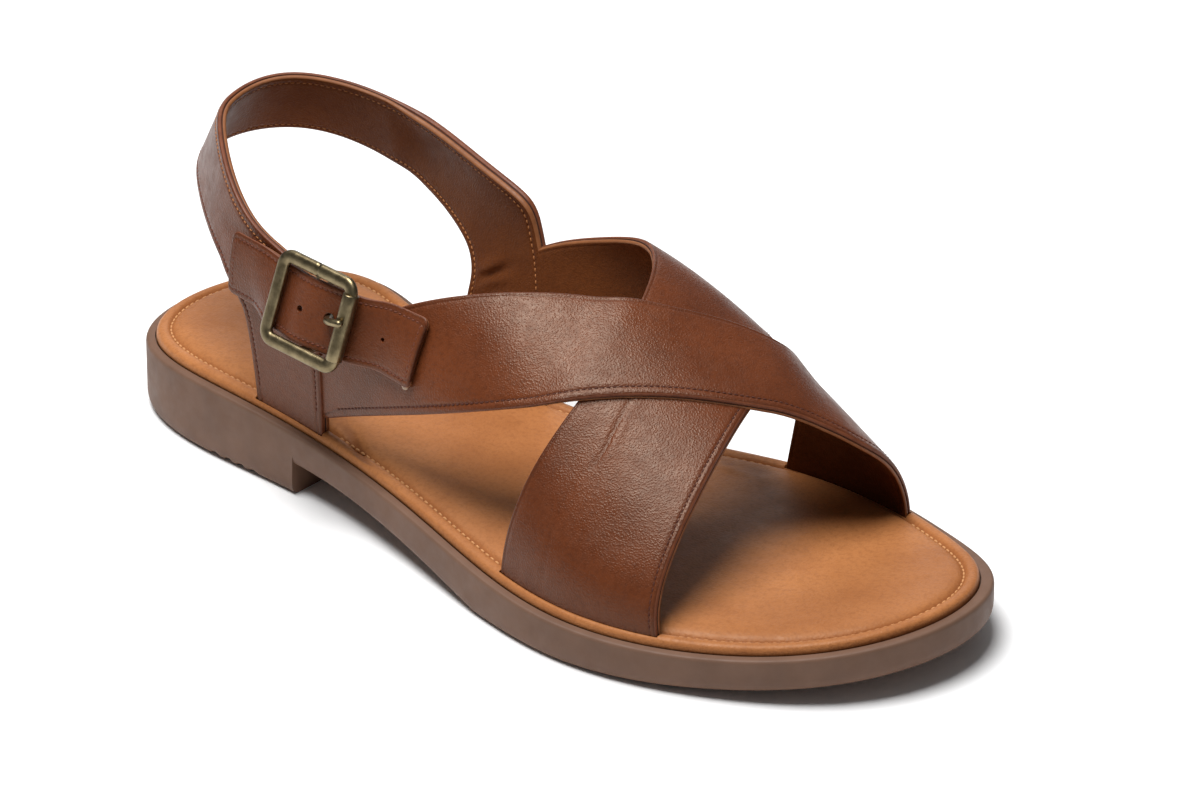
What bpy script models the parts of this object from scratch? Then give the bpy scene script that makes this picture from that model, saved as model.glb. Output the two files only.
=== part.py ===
"""Leather sandal for the right foot: rubber sole, leather footbed, crossed straps, heel sling, buckle.

Lengths are in millimetres on the last's own axes: x runs from the back of the heel to the toe,
y towards the inner side of the foot and z up from the floor. The meshes are written in metres.
"""
import math

import bmesh
import bpy
import numpy as np

MM = 0.001
GAP = 0.3

# Sole
SOLE_LENGTH = 256.0
HEEL_LENGTH = 73.0
BREAST_DRAFT = 1.0
WAIST_END = 148.0
WAIST_RISE = 8.3
WAIST_CURVE = 1.6
SPRING_START = 0.68
TOE_SPRING = 6.7
RECESS_DEPTH = 1.2
STATIONS = 38
BREAST_CLEAR = 2.5

# Columns: turn around the outline in degrees, y of the outer side, y of the inner side
SOLE_OUTLINE = (
    (0.0, 0.0, 0.0),
    (22.5, -23.7, 26.6),
    (45.0, -34.2, 37.5),
    (67.5, -36.2, 26.4),
    (90.0, -45.4, 30.0),
    (112.5, -53.9, 48.4),
    (135.0, -42.7, 45.3),
    (157.5, -21.1, 31.6),
    (180.0, 7.2, 7.2),
)

# Columns: share of the length, height of the rubber's rim
RIM_HEIGHT = (
    (0.00, 17.0),
    (0.15, 19.4),
    (0.30, 17.5),
    (0.45, 14.9),
    (0.60, 11.6),
    (0.75, 10.4),
    (0.90, 12.0),
    (1.00, 15.6),
)

# Columns: inset from the rim line, height over the tread, height under the rim (one of them is None)
SOLE_SIDE = (
    (2.4, 0.0, None),
    (1.0, 0.4, None),
    (0.3, 1.5, None),
    (0.0, 3.2, None),
    (0.0, None, 1.0),
    (0.3, None, 0.3),
    (0.9, None, 0.0),
)

# Insole
INSOLE_INSET = 2.7
INSOLE_TOE_INSET = 1.1
INSOLE_TOE_START = 0.75

# Columns: distance in from the insole's edge, height over the rim
INSOLE_PROFILE = (
    (0.0, GAP - RECESS_DEPTH),
    (0.0, 0.7),
    (0.3, 1.6),
    (1.0, 2.2),
    (2.2, 2.4),
    (3.2, 2.1),
    (3.9, 1.6),
    (4.6, 2.1),
    (7.0, 2.9),
    (12.0, 3.3),
)

# Last: the form that the straps are drawn over
FEATHER_INSET = 6.25
FEATHER_HEIGHT = 1.5
ROUNDNESS = 2.1

# Columns: x, instep height, shift of the crown to the inner side, inner fullness, outer fullness
LAST_SECTIONS = (
    (45.0, 69.0, 4.0, 12.5, 7.5),
    (65.0, 69.0, 6.0, 14.0, 8.0),
    (105.0, 65.5, 10.0, 12.0, 4.0),
    (145.0, 57.0, 15.5, 7.0, 2.5),
    (180.0, 42.0, 12.0, 0.5, -1.5),
    (215.0, 24.5, 3.5, -1.0, -2.0),
)

# Upper
STRAP_THICKNESS = 2.2
POST_OUTSIDE = 3.0
POST_LAP = 0.35
SLING_THICKNESS = 2.4
CROSS_LAP = 0.5
CROSS_EASE_REAR = 12.0
CROSS_EASE_FRONT = 20.0
STRAP_ROWS = 40
STRAP_COLUMNS = 8
SLING_ROWS = 64
SLING_COLUMNS = 5
SLOT_MARGIN = 0.35
SLOT_TOP = 7.0
SLOT_STEPS = 12

# Columns: angle over the last from the outer edge, x of the rear edge, x of the front edge
OVER_STRAP = (
    (4.0, 74.0, 83.0),
    (15.0, 79.0, 108.0),
    (30.0, 92.0, 135.0),
    (60.0, 129.5, 170.5),
    (90.0, 162.5, 193.5),
    (105.0, 172.0, 200.5),
    (120.0, 178.0, 206.5),
    (150.0, 176.0, 209.5),
    (180.0, 171.5, 210.5),
)
UNDER_STRAP = (
    (0.0, 155.5, 204.0),
    (30.0, 159.0, 200.5),
    (60.0, 160.5, 196.0),
    (90.0, 152.5, 189.0),
    (120.0, 134.0, 176.5),
    (135.0, 117.5, 164.0),
    (150.0, 96.5, 146.0),
    (165.0, 88.0, 122.5),
    (176.0, 86.0, 102.0),
)

# Columns: share of the way round the heel from the outer to the inner slot,
# then x, y, z of the lower edge and x, y, z of the upper edge, both on the outer face
SLING = (
    (0.0000, 57.5, -32.0, 20.5, 81.5, -32.5, 18.5),
    (0.0625, 55.5, -33.0, 39.0, 80.5, -33.0, 49.5),
    (0.1250, 53.5, -33.0, 46.5, 74.5, -32.3, 61.5),
    (0.1875, 49.4, -31.9, 50.8, 64.8, -31.4, 65.9),
    (0.2500, 42.5, -29.0, 54.5, 53.0, -28.9, 69.2),
    (0.3125, 32.8, -23.4, 57.8, 40.6, -23.3, 75.2),
    (0.3750, 22.0, -15.5, 60.5, 29.0, -14.5, 79.5),
    (0.5000, 7.5, 4.5, 64.0, 17.5, 2.0, 81.5),
    (0.6250, 18.0, 28.6, 63.5, 22.5, 20.5, 82.5),
    (0.7500, 43.0, 38.0, 57.4, 45.5, 34.3, 76.8),
    (0.8750, 71.5, 32.2, 50.2, 80.5, 32.3, 70.1),
    (0.9000, 76.5, 30.0, 47.0, 89.5, 31.6, 68.0),
    (0.9200, 79.0, 28.1, 43.0, 95.5, 31.7, 64.5),
    (0.9375, 79.5, 30.5, 39.0, 98.5, 34.0, 58.5),
    (0.9600, 79.5, 29.0, 33.0, 102.0, 31.0, 50.5),
    (0.9800, 80.0, 27.5, 27.0, 106.5, 27.0, 36.0),
    (1.0000, 81.0, 26.5, 20.5, 110.0, 23.0, 18.5),
)
SLING_FREE_X = 42.0
SLING_SEATED_X = 56.0
SLING_LIFT = 20.0

# Buckle, on its own axes: along the billet, across it and out from the last
BUCKLE_X = 83.0
BUCKLE_Z = 53.8
BUCKLE_ROLL = -3.5
BUCKLE_LEAN = 12.0
FRAME_LENGTH = 26.5
FRAME_HEIGHT = 25.4
FRAME_BAR = 3.5
FRAME_THICKNESS = 2.4
FRAME_BACK = 7.7
FRAME_EDGE = 0.5
FRAME_CORNER = 4.4
FRAME_FRONT_CORNER = 2.5
WINDOW_CORNER = 1.6
PIN_RADIUS = 0.9
PIN_DEPTH = 3.0
LUG_RADIUS = 0.9
UPPER_LUG = 9.6
LOWER_LUG = -10.2
FRONT_BAR_RADIUS = 1.1
FRONT_BAR_SEAT = 1.7
ROLLER_RADIUS = 2.1
ROLLER_LENGTH = 17.6
PRONG_RADIUS = 1.0
PRONG_HOLE = 5.7
PRONG_SIDE = 0.1
PRONG_TURN = 0.22
PRONG_OVERHANG = 2.2
PRONG_RUN = 0.3
PRONG_RISE = 1.0
PRONG_DIP = 0.4
HOOK_START = 150.0
HOOK_STOP = 345.0
HOOK_STEPS = 9
TAB_THICKNESS = 1.0
TAB_WIDTH = 11.0
TAB_LEG = 12.0
TAB_FREE = 3.0
TAB_SEAT = 3.4
TAB_SLOT = 5.0
TAB_SHARES = (1.0, 0.85, 0.7, 0.55, 0.4, 0.2)
TAB_COLUMNS = 5
FOLD_STEPS = 11

# Billet
BILLET_THICKNESS = 1.6
BILLET_WIDTH = 17.4
BILLET_SAG = 0.3
SAG_REACH = 9.0
SAG_EASE = 7.0
BILLET_FLAT = 13.0
BILLET_EASE = 10.0
BILLET_CORNER = 2.0
BILLET_ROWS = 34
BILLET_COLUMNS = 7
BILLET_END_SHARES = (0.0, 0.3, 0.7)
BILLET_HOLE_RADIUS = 0.8
BILLET_SLOT_RADIUS = 1.65

# Columns: distance along the billet from the frame's middle, clearance of its inner face
BILLET_PATH = (
    (-31.5, 3.4),
    (-24.0, 3.6),
    (-18.0, 4.6),
    (-12.5, 5.75),
    (-9.5, 5.8),
    (-4.5, 7.1),
    (1.0, 7.1),
    (6.0, 5.95),
    (11.5, 4.8),
    (19.0, 3.1),
    (33.0, 2.6),
)

# Columns: place along the billet, place across it
BILLET_HOLES = ((-3.0, -0.45), (21.5, 0.6))


def spline(rows, at):
    """Natural cubic spline through rows of (knot, value, ...), read at one or more knots."""
    table = np.array(rows, dtype=float)
    knots, values = table[:, 0], table[:, 1:]
    count = len(knots)
    step = np.diff(knots)
    slope = np.diff(values, axis=0) / step[:, None]
    system = np.eye(count)
    right = np.zeros_like(values)
    for i in range(1, count - 1):
        system[i, i - 1:i + 2] = step[i - 1], 2.0 * (step[i - 1] + step[i]), step[i]
        right[i] = 6.0 * (slope[i] - slope[i - 1])
    bend = np.linalg.solve(system, right)
    at = np.asarray(at, dtype=float)
    i = np.clip(np.searchsorted(knots, at) - 1, 0, count - 2)
    t = (at - knots[i])[..., None]
    h = step[i][..., None]
    linear = slope[i] - h * (2.0 * bend[i] + bend[i + 1]) / 6.0
    return values[i] + t * (linear + t * (bend[i] / 2.0 + t * (bend[i + 1] - bend[i]) / (6.0 * h)))


def smoothstep(value):
    value = np.clip(value, 0.0, 1.0)
    return value * value * (3.0 - 2.0 * value)


def closed_outline_rows():
    """The outline once round and half a turn more at each end, so that the spline closes smoothly."""
    outer = [(turn, y) for turn, y, _ in SOLE_OUTLINE]
    inner = [(360.0 - turn, y) for turn, _, y in reversed(SOLE_OUTLINE[1:-1])]
    once = outer + inner
    before = [(turn - 360.0, y) for turn, y in once if turn >= 180.0]
    after = [(turn + 360.0, y) for turn, y in once if turn <= 180.0]
    return before + once + after


OUTLINE_ROWS = closed_outline_rows()


def outline(turn, inset=0.0):
    """Plan points of the sole's outline at each turn in degrees, moved in by the inset."""
    turn = np.asarray(turn, dtype=float)
    small = 0.05

    def point(angle):
        x = SOLE_LENGTH / 2.0 * (1.0 - np.cos(np.radians(angle)))
        return np.stack([x, spline(OUTLINE_ROWS, angle)[..., 0]], -1)

    ahead = point(turn + small) - point(turn - small)
    outward = np.stack([ahead[..., 1], -ahead[..., 0]], -1)
    outward /= np.linalg.norm(outward, axis=-1, keepdims=True)
    return point(turn) - outward * np.asarray(inset, dtype=float)[..., None]


def turn_at(x):
    return np.degrees(np.arccos(np.clip(1.0 - 2.0 * np.asarray(x, dtype=float) / SOLE_LENGTH, -1.0, 1.0)))


def rim_height(x):
    return spline(RIM_HEIGHT, np.clip(np.asarray(x) / SOLE_LENGTH, 0.0, 1.0))[..., 0]


def tread_height(x):
    """Underside of the sole: flat heel, hollow waist, flat forefoot, then the toe spring."""
    x = np.asarray(x, dtype=float)
    start = HEEL_LENGTH + BREAST_DRAFT / 2.0
    share = np.clip((x - start) / (WAIST_END - start), 0.0, 1.0)
    waist = np.where(x >= start, WAIST_RISE * (1.0 - share ** WAIST_CURVE), 0.0)
    spring = TOE_SPRING * np.clip((x / SOLE_LENGTH - SPRING_START) / (1.0 - SPRING_START), 0.0, 1.0) ** 2
    return waist + spring


def station_turns():
    """Turns of the outline's stations: heel point, outer side, toe point, then the inner side back."""
    even = SOLE_LENGTH / 2.0 * (1.0 - np.cos(np.linspace(0.0, np.pi, STATIONS + 1)))
    even = even[np.abs(even - HEEL_LENGTH) > BREAST_CLEAR]
    breast = HEEL_LENGTH + BREAST_DRAFT * np.array([-0.5, 0.5])
    half = turn_at(np.sort(np.concatenate([even, breast])))
    return np.concatenate([half, 360.0 - half[-2:0:-1]])


def material(name, colour, roughness, metallic=0.0):
    made = bpy.data.materials.new(name)
    made.use_nodes = True
    shader = made.node_tree.nodes["Principled BSDF"]
    shader.inputs["Base Color"].default_value = (*colour, 1.0)
    shader.inputs["Roughness"].default_value = roughness
    shader.inputs["Metallic"].default_value = metallic
    made.diffuse_color = (*colour, 1.0)
    return made


def add_object(name, mesh, collection, finish=None):
    made = bpy.data.objects.new(name, mesh)
    collection.objects.link(made)
    if finish:
        mesh.materials.append(finish)
    mesh.shade_smooth()
    mesh.set_sharp_from_angle(angle=math.radians(35.0))
    return made


def mesh_from(name, points, faces):
    """Closed mesh from points in millimetres, with its faces turned outwards."""
    made = bpy.data.meshes.new(name)
    made.from_pydata([tuple(float(c) * MM for c in p) for p in points], [], faces)
    shape = bmesh.new()
    shape.from_mesh(made)
    bmesh.ops.remove_doubles(shape, verts=shape.verts, dist=1e-7)
    bmesh.ops.recalc_face_normals(shape, faces=shape.faces)
    shape.to_mesh(made)
    shape.free()
    return made


def stacked_rings(name, rings):
    """Loft through closed rings of the outline, with a ladder of faces across the first and the last."""
    size = len(rings[0])
    points = [p for ring in rings for p in ring]
    faces = []
    for level in range(len(rings) - 1):
        low, high = level * size, (level + 1) * size
        for i in range(size):
            j = (i + 1) % size
            faces.append((low + i, low + j, high + j, high + i))
    for base in (0, (len(rings) - 1) * size):
        for i in range(size // 2):
            corners = [base + i, base + i + 1, base + size - i - 1, base + (size - i) % size]
            faces.append(tuple(dict.fromkeys(corners)))
    return mesh_from(name, points, faces)


def band(name, inner, outer):
    """Closed solid between two grids of points, an inner and an outer face."""
    inner, outer = np.asarray(inner), np.asarray(outer)
    rows, columns = inner.shape[:2]
    points = np.concatenate([inner.reshape(-1, 3), outer.reshape(-1, 3)])
    top = rows * columns

    def at(i, j, face):
        return face * top + i * columns + j

    faces = []
    for i in range(rows - 1):
        for j in range(columns - 1):
            for face in (0, 1):
                faces.append((at(i, j, face), at(i + 1, j, face), at(i + 1, j + 1, face), at(i, j + 1, face)))
    for i in range(rows - 1):
        for j in (0, columns - 1):
            faces.append((at(i, j, 0), at(i + 1, j, 0), at(i + 1, j, 1), at(i, j, 1)))
    for j in range(columns - 1):
        for i in (0, rows - 1):
            faces.append((at(i, j, 0), at(i, j + 1, 0), at(i, j + 1, 1), at(i, j, 1)))
    return mesh_from(name, points, faces)


def boolean(target, cutter, operation, solver="EXACT"):
    step = target.modifiers.new(f"{operation.lower()}_{cutter.name}", "BOOLEAN")
    step.operation = operation
    step.object = cutter
    step.solver = solver


def as_cutter(made):
    made.hide_render = True
    made.display_type = "WIRE"
    return made


def last_point(x, angle, offset):
    """Point over the last at x and at an angle from the outer edge (0) to the inner edge (pi)."""
    x = np.asarray(x, dtype=float)
    height, shift, inner_full, outer_full = np.moveaxis(spline(LAST_SECTIONS, x), -1, 0)
    turn = turn_at(x)
    outer_edge = outline(turn)[..., 1] + FEATHER_INSET
    inner_edge = outline(360.0 - turn)[..., 1] - FEATHER_INSET
    middle = (outer_edge + inner_edge) / 2.0
    half = (inner_edge - outer_edge) / 2.0
    across, up = np.cos(angle), np.abs(np.sin(angle))
    power = 2.0 / ROUNDNESS
    fullness = np.where(angle > np.pi / 2.0, inner_full, -outer_full) * np.sin(2.0 * angle) ** 2
    y = middle - half * np.sign(across) * np.abs(across) ** power + shift * up ** 2 + fullness
    z = rim_height(x) + FEATHER_HEIGHT + height * up ** power
    out_y = -np.sign(across) * np.abs(across) ** (2.0 - power) / half
    out_z = up ** (2.0 - power) / height
    length = np.hypot(out_y, out_z)
    return np.stack([x, y + offset * out_y / length, z + offset * out_z / length], -1)


def wall_point(x, z, inner_side, offset):
    """Point on the last's side at x and height z, moved out by the offset."""
    height = spline(LAST_SECTIONS, x)[..., 0]
    rise = np.clip((z - rim_height(x) - FEATHER_HEIGHT) / height, 0.0, 0.999)
    angle = np.arcsin(rise ** (ROUNDNESS / 2.0))
    return last_point(x, np.where(inner_side, np.pi - angle, angle), offset)


def slot_floor(x):
    return rim_height(x) + GAP - RECESS_DEPTH


def strap_grid(rows, lift):
    """Inner and outer grids of a cross strap, from the slot or the post up over the last."""
    angles = np.linspace(rows[0][0], rows[-1][0], STRAP_ROWS + 1)
    edges = spline(rows, angles)
    share = np.linspace(0.0, 1.0, STRAP_COLUMNS + 1)
    x = edges[:, :1] + (edges[:, 1:] - edges[:, :1]) * share
    angle = np.radians(np.repeat(angles[:, None], len(share), axis=1))
    under = lift(x, angle)
    faces = [last_point(x, angle, under), last_point(x, angle, under + STRAP_THICKNESS)]
    for end in (0, -1):
        if angles[end] in (0.0, 180.0):
            faces = [into_slot(face, end) for face in faces]
    return faces


def into_slot(face, end):
    """The grid with one more row at that end, straight down to the floor of the slot."""
    extra = face[end].copy()
    extra[:, 2] = slot_floor(extra[:, 0])
    return np.concatenate([extra[None], face] if end == 0 else [face, extra[None]])


def lies_flat(x, angle):
    return np.zeros_like(x)


def climbs_over(x, angle):
    """How far the over strap stands off the last where it climbs over the under strap."""
    edges = spline(UNDER_STRAP, np.clip(np.degrees(angle), UNDER_STRAP[0][0], UNDER_STRAP[-1][0]))
    near_rear = smoothstep((x - edges[..., 0]) / CROSS_EASE_REAR + 1.0)
    near_front = smoothstep((edges[..., 1] - x) / CROSS_EASE_FRONT + 1.0)
    return (STRAP_THICKNESS - CROSS_LAP) * near_rear * near_front


def sling_grid():
    """Inner and outer grids of the two posts and the sling between them."""
    share = np.linspace(0.0, 1.0, SLING_ROWS + 1)
    edges = spline(SLING, share)
    across = np.linspace(0.0, 1.0, SLING_COLUMNS + 1)[None, :, None]
    free = edges[:, None, :3] * (1.0 - across) + edges[:, None, 3:] * across
    inner_side = np.repeat(share[:, None] > 0.5, SLING_COLUMNS + 1, axis=1)
    seat_x = np.maximum(free[..., 0], SLING_FREE_X)
    seated = wall_point(seat_x, free[..., 2], inner_side, POST_OUTSIDE)
    lining = wall_point(seat_x, free[..., 2], inner_side, -POST_LAP)
    lift = np.where(inner_side, 0.0, SLING_LIFT * across[..., 0] ** 3)
    hold = smoothstep((free[..., 0] - SLING_FREE_X - lift) / (SLING_SEATED_X - SLING_FREE_X))[..., None]
    outer = free.copy()
    outer[..., 1:2] = free[..., 1:2] * (1.0 - hold) + seated[..., 1:2] * hold
    along = np.gradient(outer, axis=0)
    upward = np.gradient(outer, axis=1)
    inward = np.cross(along, upward)
    inward /= np.linalg.norm(inward, axis=-1, keepdims=True)
    inner = outer + inward * SLING_THICKNESS
    inner = inner * (1.0 - hold) + (outer + lining - seated) * hold
    for end in (0, -1):
        inner, outer = into_slot(inner, end), into_slot(outer, end)
    return inner, outer


def slot_cutter(name, start, stop, inner_side, inside, outside):
    """Upright plank that cuts a strap's slot through the insole."""
    x = np.linspace(start - SLOT_MARGIN, stop + SLOT_MARGIN, SLOT_STEPS)
    angle = np.full_like(x, np.pi if inner_side else 0.0)
    faces = []
    for offset in (inside - SLOT_MARGIN, outside + SLOT_MARGIN):
        base = last_point(x, angle, offset)
        low, high = base.copy(), base.copy()
        low[:, 2] = slot_floor(x) - RECESS_DEPTH
        high[:, 2] += SLOT_TOP
        faces.append(np.stack([low, high], 1))
    return band(name, *faces)


class BuckleAxes:
    """The buckle's own axes, laid against the last's outer side."""

    def __init__(self):
        small = 0.5
        x, z = BUCKLE_X, BUCKLE_Z
        side = np.array(False)
        self.middle = wall_point(np.array(x), np.array(z), side, 0.0)
        ahead = wall_point(np.array(x + small), np.array(z), side, 0.0) - self.middle
        up = wall_point(np.array(x), np.array(z + small), side, 0.0) - self.middle
        ahead /= np.linalg.norm(ahead)
        self.out = np.cross(ahead, up)
        self.out /= np.linalg.norm(self.out)
        level = np.cross(self.out, ahead)
        roll = math.radians(BUCKLE_ROLL)
        self.along = math.cos(roll) * ahead + math.sin(roll) * level
        lean = math.radians(BUCKLE_LEAN)
        self.out = math.cos(lean) * self.out + math.sin(lean) * np.cross(self.out, self.along)
        self.across = np.cross(self.out, self.along)

    def place(self, points):
        points = np.asarray(points, dtype=float)
        return self.middle + points @ np.stack([self.along, self.across, self.out])


AXES = BuckleAxes()


def rounded_corner(centre, radius, start, steps=5):
    """Arc of a quarter turn around a corner's centre, from the start angle on."""
    angles = np.radians(start + np.linspace(0.0, 90.0, steps + 1))
    return [(centre[0] + radius * math.cos(a), centre[1] + radius * math.sin(a)) for a in angles]


def frame_outline():
    """A C of flat bar: the outer rounded rectangle, open at the front where the roller's bar goes."""
    half_length, half_height = FRAME_LENGTH / 2.0, FRAME_HEIGHT / 2.0
    corner, front, inside = FRAME_CORNER, FRAME_FRONT_CORNER, WINDOW_CORNER
    window_length, window_height = half_length - FRAME_BAR, half_height - FRAME_BAR
    points = []
    points += rounded_corner((half_length - front, half_height - front), front, 0.0)
    points += rounded_corner((corner - half_length, half_height - corner), corner, 90.0)
    points += rounded_corner((corner - half_length, corner - half_height), corner, 180.0)
    points += rounded_corner((half_length - front, front - half_height), front, 270.0)
    points.append((half_length, -window_height))
    points += reversed(rounded_corner((inside - window_length, inside - window_height), inside, 180.0))
    points += reversed(rounded_corner((inside - window_length, window_height - inside), inside, 90.0))
    points.append((half_length, window_height))
    return points


def mesh_of_curve(name, curve):
    """Closed mesh of a curve's evaluated shape, with its loose caps welded."""
    guide = bpy.data.objects.new(name, curve)
    bpy.context.scene.collection.objects.link(guide)
    seen = guide.evaluated_get(bpy.context.evaluated_depsgraph_get())
    made = bpy.data.meshes.new_from_object(seen)
    bpy.data.objects.remove(guide)
    bpy.data.curves.remove(curve)
    shape = bmesh.new()
    shape.from_mesh(made)
    bmesh.ops.remove_doubles(shape, verts=shape.verts, dist=1e-6)
    bmesh.ops.recalc_face_normals(shape, faces=shape.faces)
    shape.to_mesh(made)
    shape.free()
    return made


def flat_bar_mesh(name, points, back, thickness, edge):
    """Flat outline in the buckle's plane, given its thickness and rounded edges."""
    curve = bpy.data.curves.new(name, "CURVE")
    curve.dimensions = "2D"
    curve.fill_mode = "BOTH"
    curve.extrude = (thickness / 2.0 - edge) * MM
    curve.bevel_depth = edge * MM
    curve.bevel_resolution = 1
    curve.offset = -edge * MM
    line = curve.splines.new("POLY")
    line.points.add(len(points) - 1)
    for point, place in zip(line.points, points):
        point.co = (place[0] * MM, place[1] * MM, 0.0, 1.0)
    line.use_cyclic_u = True
    made = mesh_of_curve(name, curve)
    depth = back + thickness / 2.0
    for vert in made.vertices:
        x, y, z = np.array(vert.co) / MM
        vert.co = AXES.place([x, y, z + depth]) * MM
    return made


def rod_mesh(name, path, radius, sides=12):
    """Round rod along a path on the buckle's axes, as a bevelled curve made into a mesh."""
    curve = bpy.data.curves.new(name, "CURVE")
    curve.dimensions = "3D"
    curve.bevel_depth = radius * MM
    curve.bevel_resolution = sides // 4 - 1
    curve.use_fill_caps = True
    line = curve.splines.new("POLY")
    line.points.add(len(path) - 1)
    for point, place in zip(line.points, AXES.place(path)):
        point.co = (*(place * MM), 1.0)
    return mesh_of_curve(name, curve)


def cylinder_mesh(name, along, depth, radius, half_length, sides=20):
    """Cylinder across the buckle at a distance along the billet and a depth out from the last."""
    shape = bmesh.new()
    bmesh.ops.create_cone(shape, cap_ends=True, segments=sides, radius1=radius, radius2=radius,
                          depth=2.0 * half_length)
    for vert in shape.verts:
        x, y, z = vert.co
        vert.co = AXES.place([along + x, z, depth - y]) * MM
    bmesh.ops.recalc_face_normals(shape, faces=shape.faces)
    made = bpy.data.meshes.new(name)
    shape.to_mesh(made)
    shape.free()
    return made


def make_outsole(parts):
    turns = station_turns()
    rings = []
    for inset, over_tread, under_rim in SOLE_SIDE:
        plan = outline(turns, np.full(len(turns), inset))
        rim_x = outline(turns)[:, 0]
        low, high = tread_height(rim_x), rim_height(rim_x)
        z = low + over_tread if under_rim is None else high - under_rim
        rings.append(np.column_stack([plan, z]))
    ledge = outline(turns, insole_inset(turns) - GAP)
    rings.append(np.column_stack([ledge, rim_height(ledge[:, 0])]))
    rings.append(np.column_stack([ledge, rim_height(ledge[:, 0]) - RECESS_DEPTH]))
    return add_object("outsole", stacked_rings("outsole", rings), parts,
                      material("rubber", (0.165, 0.105, 0.075), 0.62))


def insole_inset(turns):
    share = outline(turns)[:, 0] / SOLE_LENGTH
    toe = np.clip((share - INSOLE_TOE_START) / (1.0 - INSOLE_TOE_START), 0.0, 1.0)
    return INSOLE_INSET + INSOLE_TOE_INSET * toe ** 2


def make_insole(parts, cutters):
    turns = station_turns()
    edge = insole_inset(turns)
    rings = []
    for distance, height in INSOLE_PROFILE:
        plan = outline(turns, edge + distance)
        rings.append(np.column_stack([plan, rim_height(plan[:, 0]) + height]))
    insole = add_object("insole", stacked_rings("insole", rings), parts,
                        material("insole_leather", (0.47, 0.19, 0.065), 0.55))
    under, over = UNDER_STRAP[0], OVER_STRAP[-1]
    slots = (
        ("slot_under_strap", under[1], under[2], False, 0.0, STRAP_THICKNESS),
        ("slot_over_strap", over[1], over[2], True, 0.0, STRAP_THICKNESS),
        ("slot_outer_post", SLING[0][1], SLING[0][4], False, -POST_LAP, POST_OUTSIDE),
        ("slot_inner_post", SLING[-1][1], SLING[-1][4], True, -POST_LAP, POST_OUTSIDE),
    )
    for slot in slots:
        boolean(insole, as_cutter(add_object(slot[0], slot_cutter(*slot), cutters)), "DIFFERENCE")
    return insole


def make_upper(parts, cutters):
    finish = material("strap_leather", (0.16, 0.048, 0.022), 0.42)
    upper = add_object("upper", band("upper", *sling_grid()), parts, finish)
    straps = (("under_strap", UNDER_STRAP, lies_flat), ("over_strap", OVER_STRAP, climbs_over))
    for name, rows, lift in straps:
        strap = add_object(name, band(name, *strap_grid(rows, lift)), cutters)
        boolean(upper, as_cutter(strap), "UNION")
    return upper


def drape(flat, clear, hold):
    """Points on the buckle's axes, laid on the last's outer side at a clearance as far as the hold goes."""
    place = AXES.place(np.concatenate([flat, clear[..., None]], -1))
    outer_side = np.zeros(clear.shape, dtype=bool)
    laid = wall_point(place[..., 0], place[..., 2], outer_side, clear)
    return place * (1.0 - hold[..., None]) + laid * hold[..., None]


def make_billet(parts, cutters):
    """Buckle strap: flat under the frame, laid on the last beyond it, with rounded ends and punched holes."""
    start, stop = BILLET_PATH[0][0], BILLET_PATH[-1][0]
    ends = np.array(BILLET_END_SHARES) * BILLET_CORNER
    between = np.linspace(start + BILLET_CORNER, stop - BILLET_CORNER, BILLET_ROWS)
    along = np.concatenate([start + ends, between, stop - ends[::-1]])
    from_end = np.minimum(np.minimum(along - start, stop - along), BILLET_CORNER)
    trim = BILLET_CORNER - np.sqrt(BILLET_CORNER ** 2 - (BILLET_CORNER - from_end) ** 2)
    across = np.linspace(-1.0, 1.0, BILLET_COLUMNS)
    flat = np.zeros((len(along), len(across), 2))
    flat[..., 0] = along[:, None]
    sag = BILLET_SAG * (1.0 - smoothstep((np.abs(along) - SAG_REACH) / SAG_EASE))
    flat[..., 1] = (BILLET_WIDTH / 2.0 - trim)[:, None] * across - sag[:, None]
    clear = np.repeat(spline(BILLET_PATH, along), len(across), axis=1)
    hold = smoothstep((np.abs(flat[..., 0]) - BILLET_FLAT) / BILLET_EASE)
    inner = drape(flat, clear, hold)
    outer = drape(flat, clear + BILLET_THICKNESS, hold)
    billet = add_object("buckle_strap", band("buckle_strap", inner, outer), parts,
                        material("billet_leather", (0.15, 0.045, 0.021), 0.42))
    holes = [(place, side, BILLET_HOLE_RADIUS) for place, side in BILLET_HOLES]
    holes.append((PRONG_HOLE, PRONG_SIDE, BILLET_SLOT_RADIUS))
    reach = 2.0 * FRAME_BACK
    for number, (place, side, radius) in enumerate(holes, start=1):
        punch = rod_mesh(f"punch_{number}", [(place, side, -reach), (place, side, reach)], radius)
        boolean(billet, as_cutter(add_object(f"punch_{number}", punch, cutters)), "DIFFERENCE")
    return billet


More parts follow.
